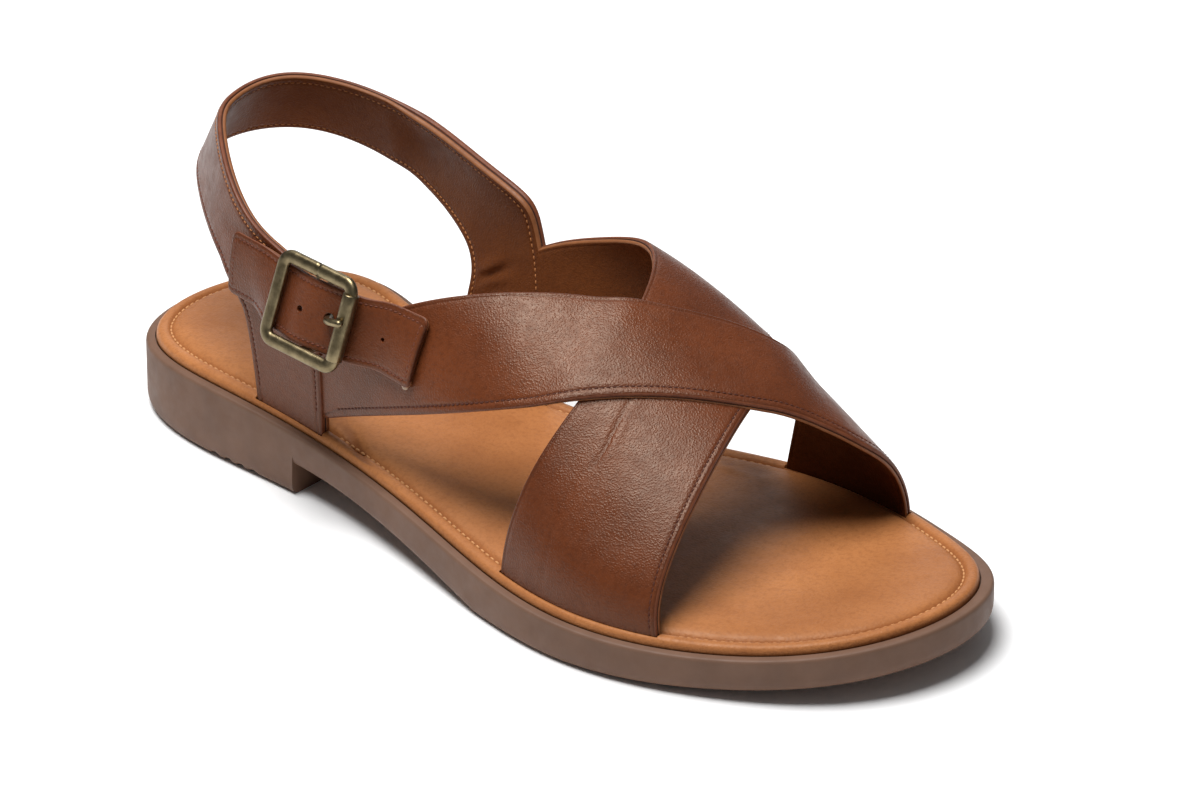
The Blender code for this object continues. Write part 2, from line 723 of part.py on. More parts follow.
def make_tab(parts, cutters):
    """Leather tab on the outer post, folded round the buckle's centre bar."""
    fold = PIN_RADIUS + GAP
    turns = np.radians(np.linspace(90.0, -90.0, FOLD_STEPS))
    path = [(-TAB_LEG * share, PIN_DEPTH + fold) for share in TAB_SHARES]
    path += [(fold * math.cos(a), PIN_DEPTH + fold * math.sin(a)) for a in turns]
    path.append((-fold, PIN_DEPTH - fold))
    path = np.array(path)
    ahead = np.gradient(path, axis=0)
    outward = np.stack([-ahead[:, 1], ahead[:, 0]], -1)
    outward /= np.linalg.norm(outward, axis=1, keepdims=True)
    hold = smoothstep((-path[:, 0] - TAB_FREE) / (TAB_LEG - TAB_FREE))
    faces = []
    for offset in (0.0, TAB_THICKNESS):
        line = path + outward * offset
        line[:, 1] += hold * (TAB_SEAT - PIN_DEPTH - fold)
        grid = np.zeros((len(path), TAB_COLUMNS, 2))
        grid[..., 0] = line[:, :1]
        grid[..., 1] = np.linspace(-0.5, 0.5, TAB_COLUMNS) * TAB_WIDTH
        clear = np.repeat(line[:, 1:], TAB_COLUMNS, axis=1)
        faces.append(drape(grid, clear, np.repeat(hold[:, None], TAB_COLUMNS, axis=1)))
    tab = add_object("buckle_tab", band("buckle_tab", *faces), parts,
                     material("tab_leather", (0.13, 0.04, 0.02), 0.5))
    half, behind, ahead = TAB_SLOT / 2.0, -3.0 * fold, 3.0 * fold
    corners = [(behind, -half), (ahead, -half), (ahead, half), (behind, half)]
    slot = flat_bar_mesh("tab_slot", corners, PIN_DEPTH - ahead, 2.0 * ahead, 0.0)
    boolean(tab, as_cutter(add_object("tab_slot", slot, cutters)), "DIFFERENCE")
    return tab


def make_buckle(parts, cutters):
    brass = material("antique_brass", (0.30, 0.22, 0.12), 0.38, 1.0)
    half_height = FRAME_HEIGHT / 2.0
    middle_depth = FRAME_BACK + FRAME_THICKNESS / 2.0
    front_bar = FRAME_LENGTH / 2.0 - FRAME_BAR / 2.0
    frame = add_object("buckle_frame", flat_bar_mesh("buckle_frame", frame_outline(), FRAME_BACK,
                                                     FRAME_THICKNESS, FRAME_EDGE), parts, brass)
    bar = cylinder_mesh("front_bar", front_bar, middle_depth, FRONT_BAR_RADIUS,
                        half_height - FRONT_BAR_SEAT)
    boolean(frame, as_cutter(add_object("front_bar", bar, cutters)), "UNION", "MANIFOLD")
    rods = (
        ("centre_bar", [(0.0, LOWER_LUG, PIN_DEPTH), (0.0, UPPER_LUG, PIN_DEPTH)]),
        ("upper_lug", [(0.0, UPPER_LUG, PIN_DEPTH - LUG_RADIUS), (0.0, UPPER_LUG, middle_depth)]),
        ("lower_lug", [(0.0, LOWER_LUG, PIN_DEPTH - LUG_RADIUS), (0.0, LOWER_LUG, middle_depth)]),
    )
    for name, path in rods:
        radius = PIN_RADIUS if name == "centre_bar" else LUG_RADIUS
        rod = add_object(name, rod_mesh(name, path, radius), cutters)
        boolean(frame, as_cutter(rod), "UNION", "MANIFOLD")

    sleeve = cylinder_mesh("buckle_roller", front_bar, middle_depth, ROLLER_RADIUS, ROLLER_LENGTH / 2.0)
    roller = add_object("buckle_roller", sleeve, parts, brass.copy())
    bore = cylinder_mesh("roller_bore", front_bar, middle_depth, FRONT_BAR_RADIUS + GAP, ROLLER_LENGTH)
    boolean(roller, as_cutter(add_object("roller_bore", bore, cutters)), "DIFFERENCE")

    hook = PIN_RADIUS + GAP + PRONG_RADIUS
    turns = np.radians(np.linspace(HOOK_START, HOOK_STOP, HOOK_STEPS))
    through = float(spline(BILLET_PATH, PRONG_HOLE)[0]) + BILLET_THICKNESS / 2.0
    rest = middle_depth + ROLLER_RADIUS + GAP + PRONG_RADIUS
    side = [(hook * math.cos(a), PIN_DEPTH + hook * math.sin(a)) for a in turns]
    side += [(PRONG_HOLE - PRONG_RUN, through - PRONG_RISE), (PRONG_HOLE + PRONG_RUN, through + PRONG_RISE)]
    side += [(front_bar - ROLLER_RADIUS, rest - PRONG_DIP), (front_bar + PRONG_OVERHANG, rest)]
    path = [(along, PRONG_SIDE + PRONG_TURN * max(along - PRONG_HOLE, 0.0), depth) for along, depth in side]
    add_object("buckle_prong", rod_mesh("buckle_prong", path, PRONG_RADIUS), parts, brass.copy())


def main():
    for old in list(bpy.data.objects):
        bpy.data.objects.remove(old)
    parts = bpy.data.collections.new("leather_sandal")
    cutters = bpy.data.collections.new("cutters")
    for collection in (parts, cutters):
        bpy.context.scene.collection.children.link(collection)
    make_outsole(parts)
    make_insole(parts, cutters)
    make_upper(parts, cutters)
    make_billet(parts, cutters)
    make_tab(parts, cutters)
    make_buckle(parts, cutters)

    # The part's origin lies on the floor under the middle of the sole
    plan = outline(station_turns())
    centre = (plan.min(axis=0) + plan.max(axis=0)) / 2.0
    origin = bpy.data.objects.new("sandal_origin", None)
    parts.objects.link(origin)
    origin.location = (-centre[0] * MM, -centre[1] * MM, 0.0)
    for made in list(parts.objects) + list(cutters.objects):
        if made is not origin:
            made.parent = origin
    bpy.context.view_layer.update()


main()
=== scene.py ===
"""Looks of the leather sandal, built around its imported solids.

Lengths are in millimetres on the last's own axes, as in the part's source: x runs from the back of
the heel to the toe, y towards the inner side of the foot and z up. The meshes are written in metres.
"""
import math

import bmesh
import bpy
import numpy as np
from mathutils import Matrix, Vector


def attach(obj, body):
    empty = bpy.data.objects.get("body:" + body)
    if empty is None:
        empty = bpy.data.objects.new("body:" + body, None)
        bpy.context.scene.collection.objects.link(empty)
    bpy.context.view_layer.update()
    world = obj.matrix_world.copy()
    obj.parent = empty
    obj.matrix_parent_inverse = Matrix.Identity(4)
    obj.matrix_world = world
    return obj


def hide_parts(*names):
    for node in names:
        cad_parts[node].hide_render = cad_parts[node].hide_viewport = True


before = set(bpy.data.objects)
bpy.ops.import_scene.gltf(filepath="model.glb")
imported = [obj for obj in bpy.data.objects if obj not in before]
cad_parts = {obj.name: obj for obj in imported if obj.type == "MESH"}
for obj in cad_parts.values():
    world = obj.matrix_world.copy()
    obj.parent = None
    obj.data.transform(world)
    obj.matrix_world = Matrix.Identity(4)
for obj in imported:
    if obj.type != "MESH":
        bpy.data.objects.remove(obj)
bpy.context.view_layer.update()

# A millimetre in metres, the clearance between solids, and the frame's origin on the last's axes
MM = 0.001
GAP = 0.3
ORIGIN = np.array([128.0, -2.0, 0.0])

# Sole
SOLE_LENGTH = 256.0
HEEL_LENGTH = 73.0
BREAST_DRAFT = 1.0
WAIST_END = 148.0
WAIST_RISE = 8.3
WAIST_CURVE = 1.6
SPRING_START = 0.68
TOE_SPRING = 6.7
RECESS_DEPTH = 1.2

# Columns: turn around the outline in degrees, y of the outer side, y of the inner side
SOLE_OUTLINE = (
    (0.0, 0.0, 0.0),
    (22.5, -23.7, 26.6),
    (45.0, -34.2, 37.5),
    (67.5, -36.2, 26.4),
    (90.0, -45.4, 30.0),
    (112.5, -53.9, 48.4),
    (135.0, -42.7, 45.3),
    (157.5, -21.1, 31.6),
    (180.0, 7.2, 7.2),
)

# Columns: share of the length, height of the rubber's rim
RIM_HEIGHT = (
    (0.00, 17.0),
    (0.15, 19.4),
    (0.30, 17.5),
    (0.45, 14.9),
    (0.60, 11.6),
    (0.75, 10.4),
    (0.90, 12.0),
    (1.00, 15.6),
)

# Insole
INSOLE_INSET = 2.7
INSOLE_TOE_INSET = 1.1
INSOLE_TOE_START = 0.75

# Last: the form that the straps are drawn over
FEATHER_INSET = 6.25
FEATHER_HEIGHT = 1.5
ROUNDNESS = 2.1

# Columns: x, instep height, shift of the crown to the inner side, inner fullness, outer fullness
LAST_SECTIONS = (
    (45.0, 69.0, 4.0, 12.5, 7.5),
    (65.0, 69.0, 6.0, 14.0, 8.0),
    (105.0, 65.5, 10.0, 12.0, 4.0),
    (145.0, 57.0, 15.5, 7.0, 2.5),
    (180.0, 42.0, 12.0, 0.5, -1.5),
    (215.0, 24.5, 3.5, -1.0, -2.0),
)

# Upper
STRAP_THICKNESS = 2.2
POST_OUTSIDE = 3.0
POST_LAP = 0.35
SLING_THICKNESS = 2.4
CROSS_LAP = 0.5
CROSS_EASE_REAR = 12.0
CROSS_EASE_FRONT = 20.0
SLOT_MARGIN = 0.15
SLOT_TOP = 7.0

# Columns: angle over the last from the outer edge, x of the rear edge, x of the front edge
OVER_STRAP = (
    (4.0, 74.0, 83.0),
    (15.0, 79.0, 108.0),
    (30.0, 92.0, 135.0),
    (60.0, 129.5, 170.5),
    (90.0, 162.5, 193.5),
    (105.0, 172.0, 200.5),
    (120.0, 178.0, 206.5),
    (150.0, 176.0, 209.5),
    (180.0, 171.5, 210.5),
)
UNDER_STRAP = (
    (0.0, 155.5, 204.0),
    (30.0, 159.0, 200.5),
    (60.0, 160.5, 196.0),
    (90.0, 152.5, 189.0),
    (120.0, 134.0, 176.5),
    (135.0, 117.5, 164.0),
    (150.0, 96.5, 146.0),
    (165.0, 88.0, 122.5),
    (176.0, 86.0, 102.0),
)

# Columns: share of the way round the heel from the outer to the inner slot,
# then x, y, z of the lower edge and x, y, z of the upper edge, both on the outer face
SLING = (
    (0.0000, 57.5, -32.0, 20.5, 81.5, -32.5, 18.5),
    (0.0625, 55.5, -33.0, 39.0, 80.5, -33.0, 49.5),
    (0.1250, 53.5, -33.0, 46.5, 74.5, -32.3, 61.5),
    (0.1875, 49.4, -31.9, 50.8, 64.8, -31.4, 65.9),
    (0.2500, 42.5, -29.0, 54.5, 53.0, -28.9, 69.2),
    (0.3125, 32.8, -23.4, 57.8, 40.6, -23.3, 75.2),
    (0.3750, 22.0, -15.5, 60.5, 29.0, -14.5, 79.5),
    (0.5000, 7.5, 4.5, 64.0, 17.5, 2.0, 81.5),
    (0.6250, 18.0, 28.6, 63.5, 22.5, 20.5, 82.5),
    (0.7500, 43.0, 38.0, 57.4, 45.5, 34.3, 76.8),
    (0.8750, 71.5, 32.2, 50.2, 80.5, 32.3, 70.1),
    (0.9000, 76.5, 30.0, 47.0, 89.5, 31.6, 68.0),
    (0.9200, 79.0, 28.1, 43.0, 95.5, 31.7, 64.5),
    (0.9375, 79.5, 30.5, 39.0, 98.5, 34.0, 58.5),
    (0.9600, 79.5, 29.0, 33.0, 102.0, 31.0, 50.5),
    (0.9800, 80.0, 27.5, 27.0, 106.5, 27.0, 36.0),
    (1.0000, 81.0, 26.5, 20.5, 110.0, 23.0, 18.5),
)
SLING_FREE_X = 42.0
SLING_SEATED_X = 56.0
SLING_LIFT = 20.0

# Buckle, on its own axes: along the billet, across it and out from the last
BUCKLE_X = 83.0
BUCKLE_Z = 53.8
BUCKLE_ROLL = -3.5
BUCKLE_LEAN = 12.0
FRAME_LENGTH = 26.5
FRAME_HEIGHT = 25.4
FRAME_BAR = 3.5
FRAME_THICKNESS = 2.4
FRAME_BACK = 7.7
FRAME_CORNER = 4.4
PIN_RADIUS = 0.9
PIN_DEPTH = 3.0
LUG_RADIUS = 0.9
UPPER_LUG = 9.6
LOWER_LUG = -10.2
FRONT_BAR_RADIUS = 1.1
ROLLER_RADIUS = 2.1
ROLLER_LENGTH = 17.6
PRONG_RADIUS = 1.0
PRONG_HOLE = 5.7
PRONG_SIDE = 0.1
PRONG_TURN = 0.22
PRONG_OVERHANG = 2.2
PRONG_RUN = 0.3
PRONG_RISE = 1.0
PRONG_DIP = 0.4
HOOK_START = 150.0
HOOK_STOP = 345.0
TAB_THICKNESS = 1.0
TAB_WIDTH = 11.0
TAB_LEG = 12.0
TAB_FREE = 3.0
TAB_SEAT = 3.4
TAB_SLOT = 5.0

# Billet
BILLET_THICKNESS = 1.6
BILLET_WIDTH = 17.4
BILLET_SAG = 0.3
SAG_REACH = 9.0
SAG_EASE = 7.0
BILLET_FLAT = 13.0
BILLET_EASE = 10.0
BILLET_CORNER = 2.0
BILLET_SLOT_RADIUS = 1.45

# Columns: distance along the billet from the frame's middle, clearance of its inner face
BILLET_PATH = (
    (-31.5, 3.4),
    (-24.0, 3.6),
    (-18.0, 4.6),
    (-12.5, 5.75),
    (-9.5, 5.8),
    (-4.5, 7.1),
    (1.0, 7.1),
    (6.0, 5.95),
    (11.5, 4.8),
    (19.0, 3.1),
    (33.0, 2.6),
)

# Columns: place along the billet, place across it, radius. The unused hole has closed up a little.
BILLET_HOLES = ((-3.0, -0.45, 0.85), (21.5, 0.6, 0.55))


def spline(rows, at):
    """Natural cubic spline through rows of (knot, value, ...), read at one or more knots."""
    table = np.array(rows, dtype=float)
    knots, values = table[:, 0], table[:, 1:]
    count = len(knots)
    step = np.diff(knots)
    slope = np.diff(values, axis=0) / step[:, None]
    system = np.eye(count)
    right = np.zeros_like(values)
    for i in range(1, count - 1):
        system[i, i - 1:i + 2] = step[i - 1], 2.0 * (step[i - 1] + step[i]), step[i]
        right[i] = 6.0 * (slope[i] - slope[i - 1])
    bend = np.linalg.solve(system, right)
    at = np.asarray(at, dtype=float)
    i = np.clip(np.searchsorted(knots, at) - 1, 0, count - 2)
    t = (at - knots[i])[..., None]
    h = step[i][..., None]
    linear = slope[i] - h * (2.0 * bend[i] + bend[i + 1]) / 6.0
    return values[i] + t * (linear + t * (bend[i] / 2.0 + t * (bend[i + 1] - bend[i]) / (6.0 * h)))


def smoothstep(value):
    value = np.clip(value, 0.0, 1.0)
    return value * value * (3.0 - 2.0 * value)


def unit(vectors):
    return vectors / np.linalg.norm(vectors, axis=-1, keepdims=True)


def circle(count):
    """Angles that divide a full turn evenly."""
    return np.linspace(0.0, 2.0 * np.pi, count + 1)[:-1]


def signed_power(value, power):
    return np.sign(value) * np.abs(value) ** power


def travelled(path):
    """Distance along a path at each of its points."""
    return np.concatenate([[0.0], np.cumsum(np.linalg.norm(np.diff(path, axis=0), axis=1))])


def closed_outline_rows():
    """The outline once round and half a turn more at each end, so that the spline closes smoothly."""
    outer = [(turn, y) for turn, y, _ in SOLE_OUTLINE]
    inner = [(360.0 - turn, y) for turn, _, y in reversed(SOLE_OUTLINE[1:-1])]
    once = outer + inner
    before = [(turn - 360.0, y) for turn, y in once if turn >= 180.0]
    after = [(turn + 360.0, y) for turn, y in once if turn <= 180.0]
    return before + once + after


OUTLINE_ROWS = closed_outline_rows()


def outline(turn, inset=0.0):
    """Plan points of the sole's outline at each turn in degrees, moved in by the inset."""
    turn = np.asarray(turn, dtype=float)
    small = 0.05

    def point(angle):
        x = SOLE_LENGTH / 2.0 * (1.0 - np.cos(np.radians(angle)))
        return np.stack([x, spline(OUTLINE_ROWS, angle)[..., 0]], -1)

    ahead = point(turn + small) - point(turn - small)
    outward = unit(np.stack([ahead[..., 1], -ahead[..., 0]], -1))
    return point(turn) - outward * np.asarray(inset, dtype=float)[..., None]


def turn_at(x):
    """Turn of the outline at each x, on its outer side."""
    share = np.asarray(x, dtype=float) / SOLE_LENGTH
    return np.degrees(np.arccos(np.clip(1.0 - 2.0 * share, -1.0, 1.0)))


def rim_height(x):
    return spline(RIM_HEIGHT, np.clip(np.asarray(x) / SOLE_LENGTH, 0.0, 1.0))[..., 0]


def tread_height(x):
    """Underside of the sole: flat heel, hollow waist, flat forefoot, then the toe spring."""
    x = np.asarray(x, dtype=float)
    start = HEEL_LENGTH + BREAST_DRAFT / 2.0
    share = np.clip((x - start) / (WAIST_END - start), 0.0, 1.0)
    waist = np.where(x >= start, WAIST_RISE * (1.0 - share ** WAIST_CURVE), 0.0)
    spring = np.clip((x / SOLE_LENGTH - SPRING_START) / (1.0 - SPRING_START), 0.0, 1.0)
    return waist + TOE_SPRING * spring ** 2


def insole_inset(turns):
    share = outline(turns)[:, 0] / SOLE_LENGTH
    toe = np.clip((share - INSOLE_TOE_START) / (1.0 - INSOLE_TOE_START), 0.0, 1.0)
    return INSOLE_INSET + INSOLE_TOE_INSET * toe ** 2


def last_point(x, angle, offset):
    """Point over the last at x and at an angle from the outer edge (0) to the inner edge (pi)."""
    x = np.asarray(x, dtype=float)
    height, shift, inner_full, outer_full = np.moveaxis(spline(LAST_SECTIONS, x), -1, 0)
    turn = turn_at(x)
    outer_edge = outline(turn)[..., 1] + FEATHER_INSET
    inner_edge = outline(360.0 - turn)[..., 1] - FEATHER_INSET
    middle = (outer_edge + inner_edge) / 2.0
    half = (inner_edge - outer_edge) / 2.0
    across, up = np.cos(angle), np.abs(np.sin(angle))
    power = 2.0 / ROUNDNESS
    fullness = np.where(angle > np.pi / 2.0, inner_full, -outer_full) * np.sin(2.0 * angle) ** 2
    y = middle - half * signed_power(across, power) + shift * up ** 2 + fullness
    z = rim_height(x) + FEATHER_HEIGHT + height * up ** power
    out_y = -signed_power(across, 2.0 - power) / half
    out_z = up ** (2.0 - power) / height
    length = np.hypot(out_y, out_z)
    return np.stack([x, y + offset * out_y / length, z + offset * out_z / length], -1)


def wall_point(x, z, inner_side, offset):
    """Point on the last's side at x and height z, moved out by the offset."""
    height = spline(LAST_SECTIONS, x)[..., 0]
    rise = np.clip((z - rim_height(x) - FEATHER_HEIGHT) / height, 0.0, 0.999)
    angle = np.arcsin(rise ** (ROUNDNESS / 2.0))
    return last_point(x, np.where(inner_side, np.pi - angle, angle), offset)


def slot_floor(x):
    return rim_height(x) + GAP - RECESS_DEPTH


class BuckleAxes:
    """The buckle's own axes, laid against the last's outer side."""

    def __init__(self):
        small = 0.5
        x, z = BUCKLE_X, BUCKLE_Z
        side = np.array(False)
        self.middle = wall_point(np.array(x), np.array(z), side, 0.0)
        ahead = unit(wall_point(np.array(x + small), np.array(z), side, 0.0) - self.middle)
        up = wall_point(np.array(x), np.array(z + small), side, 0.0) - self.middle
        self.out = unit(np.cross(ahead, up))
        level = np.cross(self.out, ahead)
        roll = math.radians(BUCKLE_ROLL)
        self.along = math.cos(roll) * ahead + math.sin(roll) * level
        lean = math.radians(BUCKLE_LEAN)
        self.out = math.cos(lean) * self.out + math.sin(lean) * np.cross(self.out, self.along)
        self.across = np.cross(self.out, self.along)

    def place(self, points):
        points = np.asarray(points, dtype=float)
        return self.middle + points @ np.stack([self.along, self.across, self.out])


AXES = BuckleAxes()


def drape(flat, clear, hold):
    """Points on the buckle's axes, laid on the last's outer side as far as the hold goes."""
    place = AXES.place(np.concatenate([flat, clear[..., None]], -1))
    outer_side = np.zeros(clear.shape, dtype=bool)
    laid = wall_point(place[..., 0], place[..., 2], outer_side, clear)
    return place * (1.0 - hold[..., None]) + laid * hold[..., None]


# Straps as surfaces: along from 0 to 1, across from 0 to 1 and depth in mm out from the lining
def lies_flat(x, angle):
    return np.zeros_like(x)


def climbs_over(x, angle):
    """How far the over strap stands off the last where it climbs over the under strap."""
    edges = spline(UNDER_STRAP, np.clip(np.degrees(angle), UNDER_STRAP[0][0], UNDER_STRAP[-1][0]))
    near_rear = smoothstep((x - edges[..., 0]) / CROSS_EASE_REAR + 1.0)
    near_front = smoothstep((edges[..., 1] - x) / CROSS_EASE_FRONT + 1.0)
    return (STRAP_THICKNESS - CROSS_LAP) * near_rear * near_front


class CrossStrap:
    """A strap over the last, between two edges that a table gives for each angle."""

    thickness = STRAP_THICKNESS

    def __init__(self, rows, lift):
        self.rows = rows
        self.lift = lift

    def at(self, along, across, depth):
        degrees = self.rows[0][0] + (self.rows[-1][0] - self.rows[0][0]) * along
        edges = spline(self.rows, degrees)
        x = edges[..., 0] + (edges[..., 1] - edges[..., 0]) * across
        angle = np.radians(degrees)
        return last_point(x, angle, self.lift(x, angle) + depth)


class Sling:
    """The two posts and the sling between them."""

    thickness = SLING_THICKNESS

    def outer(self, along, across):
        edges = spline(SLING, along)
        free = edges[..., :3] * (1.0 - across[..., None]) + edges[..., 3:] * across[..., None]
        inner_side = along > 0.5
        seat_x = np.maximum(free[..., 0], SLING_FREE_X)
        seated = wall_point(seat_x, free[..., 2], inner_side, POST_OUTSIDE)
        lining = wall_point(seat_x, free[..., 2], inner_side, -POST_LAP)
        lift = np.where(inner_side, 0.0, SLING_LIFT * across ** 3)
        share = (free[..., 0] - SLING_FREE_X - lift) / (SLING_SEATED_X - SLING_FREE_X)
        hold = smoothstep(share)[..., None]
        outer = free.copy()
        outer[..., 1:2] = free[..., 1:2] * (1.0 - hold) + seated[..., 1:2] * hold
        return outer, lining - seated, hold

    def at(self, along, across, depth):
        small = 0.002
        outer, seat_step, hold = self.outer(along, across)
        ahead = self.outer(np.minimum(along + small, 1.0), across)[0]
        behind = self.outer(np.maximum(along - small, 0.0), across)[0]
        above = self.outer(along, np.minimum(across + small, 1.0))[0]
        below = self.outer(along, np.maximum(across - small, 0.0))[0]
        inward = unit(np.cross(ahead - behind, above - below))
        step = inward * SLING_THICKNESS * (1.0 - hold) + seat_step * hold
        return outer + step * (1.0 - depth / SLING_THICKNESS)[..., None]


def corner_trim(from_end):
    """How much the billet's round corners take off each side, at a distance from the nearer end."""
    inside = BILLET_CORNER - np.clip(from_end, 0.0, BILLET_CORNER)
    return BILLET_CORNER - np.sqrt(BILLET_CORNER ** 2 - inside ** 2)


class Billet:
    """The buckle strap, flat under the frame and laid on the last beyond it."""

    thickness = BILLET_THICKNESS

    def at(self, along, across, depth):
        start, stop = BILLET_PATH[0][0], BILLET_PATH[-1][0]
        place = start + (stop - start) * along
        trim = corner_trim(np.minimum(place - start, stop - place))
        sag = BILLET_SAG * (1.0 - smoothstep((np.abs(place) - SAG_REACH) / SAG_EASE))
        side = (BILLET_WIDTH / 2.0 - trim) * (2.0 * across - 1.0) - sag
        clear = spline(BILLET_PATH, place)[..., 0] + depth
        hold = smoothstep((np.abs(place) - BILLET_FLAT) / BILLET_EASE)
        return drape(np.stack([place, side], -1), clear, hold)


def metres(points):
    return (np.asarray(points) - ORIGIN) * MM


def link_object(name, data):
    made = bpy.data.objects.new(name, data)
    bpy.context.scene.collection.objects.link(made)
    return made


def add_piece(mesh, slot, *nodes):
    """New piece, named as its mesh, that rides on the body, with the named solids hidden."""
    piece = link_object(mesh.name, mesh)
    mesh.shade_smooth()
    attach(piece, "root")
    if nodes:
        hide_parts(*nodes)
    return piece


def set_mark(mesh, key, values):
    """Stores one number for each point of a mesh."""
    layer = mesh.attributes.new(key, "FLOAT", "POINT")
    layer.data.foreach_set("value", np.asarray(values, dtype=np.float32).ravel())


def mesh_from(name, points, faces, zones=None, marks=None, materials=()):
    """Closed mesh from points in millimetres, with a zone for each face and marks for each point."""
    made = bpy.data.meshes.new(name)
    made.from_pydata([tuple(map(float, p)) for p in metres(points)], [], faces)
    for finish in materials:
        made.materials.append(finish)
    if zones is not None:
        made.polygons.foreach_set("material_index", np.asarray(zones, dtype=np.int32))
    for key, values in (marks or {}).items():
        set_mark(made, key, values)
    shape = bmesh.new()
    shape.from_mesh(made)
    bmesh.ops.recalc_face_normals(shape, faces=shape.faces)
    shape.to_mesh(made)
    shape.free()
    return made


def band_faces(rows, size, closed=False):
    """Faces between each closed loop of points and the next, and from the last to the first if closed."""
    faces = []
    for r in range(rows if closed else rows - 1):
        low, high = r * size, (r + 1) % rows * size
        for c in range(size):
            d = (c + 1) % size
            faces.append((low + c, low + d, high + d, high + c))
    return faces


def loft(loops, column_zones=None, closed=False):
    """Faces and zones through closed loops, with a ladder of faces across the open ends."""
    rows, size = loops.shape[:2]
    column_zones = column_zones or [0] * size
    faces = band_faces(rows, size, closed)
    zones = [column_zones[i % size] for i in range(len(faces))]
    for base in () if closed else (0, (rows - 1) * size):
        for c in range(size // 2):
            corners = [base + c, base + c + 1, base + size - c - 1, base + (size - c) % size]
            faces.append(tuple(dict.fromkeys(corners)))
            zones.append(column_zones[c])
    return faces, zones


def loft_mesh(name, loops, closed=False, materials=()):
    faces, _ = loft(loops, closed=closed)
    return mesh_from(name, loops.reshape(-1, 3), faces, materials=materials)


# Zones of a strap's faces, in the order of its materials
OUTER_FACE, OUTER_EDGE, SEAM, LINING, LINING_EDGE = range(5)

# Columns: distance in from the edge, share of the thickness, zone of the face that follows
ROLLED_EDGE = (
    (0.30, 0.50, SEAM),
    (0.30, 0.53, SEAM),
    (0.07, 0.57, OUTER_EDGE),
    (0.00, 0.66, OUTER_EDGE),
    (0.02, 0.78, OUTER_EDGE),
    (0.10, 0.88, OUTER_EDGE),
    (0.28, 0.95, OUTER_FACE),
    (0.55, 0.99, OUTER_FACE),
)
# Columns: distance from the middle of the stitch channel, share of the channel's depth
CHANNEL = ((-0.42, 0.0), (-0.22, 0.55), (0.0, 1.0), (0.22, 0.55), (0.42, 0.0))
# How far past the channel the plain face starts, the most of the width that one edge's columns take,
# and the distance from the edge that stands for the columns between
CHANNEL_MARGIN = 1.2
EDGE_SHARE = 0.42
MID_FACE = 99.0


def edge_columns(channel, sink):
    """One edge of a strap from its seam to just past the stitch channel: distance, level and zone."""
    rows = list(ROLLED_EDGE)
    rows += [(channel + away, 1.0 - sink * share, OUTER_FACE) for away, share in CHANNEL]
    rows.append((channel + CHANNEL_MARGIN, 1.0, OUTER_FACE))
    return rows


def section(near, far, rear, front, inner_columns):
    """Columns of a strap's loop: across, level, distance from the edge and zones, from both edges' rows."""
    sides = []
    for rate, rows in ((near, rear), (far, front)):
        distance = np.array([row[0] for row in rows])
        level = np.array([row[1] for row in rows])
        across = np.minimum(distance / rate[:, None], EDGE_SHARE * distance / distance[-1])
        sides.append((across, distance, level, [row[2] for row in rows]))
    (first, first_reach, first_level, first_zone), (second, second_reach, second_level, second_zone) = sides
    second = 1.0 - second[:, ::-1]
    share = np.linspace(0.0, 1.0, inner_columns + 2)[1:-1]
    middle = first[:, -1:] + (second[:, :1] - first[:, -1:]) * share
    across = np.concatenate([first, middle, second], axis=1)
    levels = np.concatenate([first_level, np.ones(inner_columns), second_level[::-1]])
    reach = np.concatenate([first_reach, np.full(inner_columns, MID_FACE), second_reach[::-1]])
    outside = first_zone + [OUTER_FACE] * inner_columns + second_zone[-2::-1]
    inside = {OUTER_FACE: LINING, OUTER_EDGE: LINING_EDGE, SEAM: SEAM}
    zones = outside + [inside[z] for z in reversed(outside)]
    back = np.arange(across.shape[1] - 2, 0, -1)
    across = np.concatenate([across, across[:, back]], axis=1)
    levels = np.concatenate([levels, 1.0 - levels[back]])
    reach = np.concatenate([reach, reach[back]])
    return across, levels, reach, zones


def edge_rates(strap, along):
    """Millimetres square to each edge for one whole step across, at each place along the strap."""
    small = 0.004
    rates = []
    for edge, inside in ((0.0, small), (1.0, 1.0 - small)):
        here = np.full_like(along, edge)
        depth = np.full_like(along, strap.thickness)
        ahead = strap.at(np.minimum(along + small, 1.0), here, depth)
        behind = strap.at(np.maximum(along - small, 0.0), here, depth)
        way = unit(ahead - behind)
        inner = strap.at(along, np.full_like(along, inside), depth)
        inward = (inner - strap.at(along, here, depth)) / small
        inward -= way * (inward * way).sum(-1, keepdims=True)
        rates.append(np.linalg.norm(inward, axis=-1))
    return rates


# Strength along a crease: a half wave without this share at each end, to this power
CREASE_END = 0.05
CREASE_POWER = 0.7
CREASE_POINTS = 48


def crease_sum(points, creases, place, count):
    """Sum of soft troughs and ridges at points, each along a line that a function puts in their space."""
    height = np.zeros(len(points))
    steps = np.linspace(0.0, 1.0, count)
    fade = np.sin(np.pi * (CREASE_END + steps * (1.0 - 2.0 * CREASE_END))) ** CREASE_POWER
    for line, depth, width in creases:
        knots = np.array(line)
        path = spline(np.column_stack([np.linspace(0.0, 1.0, len(knots)), knots]), steps)
        best = np.full(len(points), np.inf)
        weight = np.zeros(len(points))
        for point, strength in zip(place(path), fade):
            away = np.linalg.norm(points - point, axis=1)
            nearer = away < best
            best[nearer] = away[nearer]
            weight[nearer] = strength
        height += depth * weight * np.exp(-(best / width) ** 2)
    return height


def crease_height(strap, creases, along, across):
    """Height of a strap's creases, whose lines are on its outer face."""
    def outer(places):
        return strap.at(places[:, 0], places[:, 1], np.full(len(places), strap.thickness))

    points = outer(np.column_stack([along.ravel(), across.ravel()]))
    return crease_sum(points, creases, outer, CREASE_POINTS).reshape(along.shape)
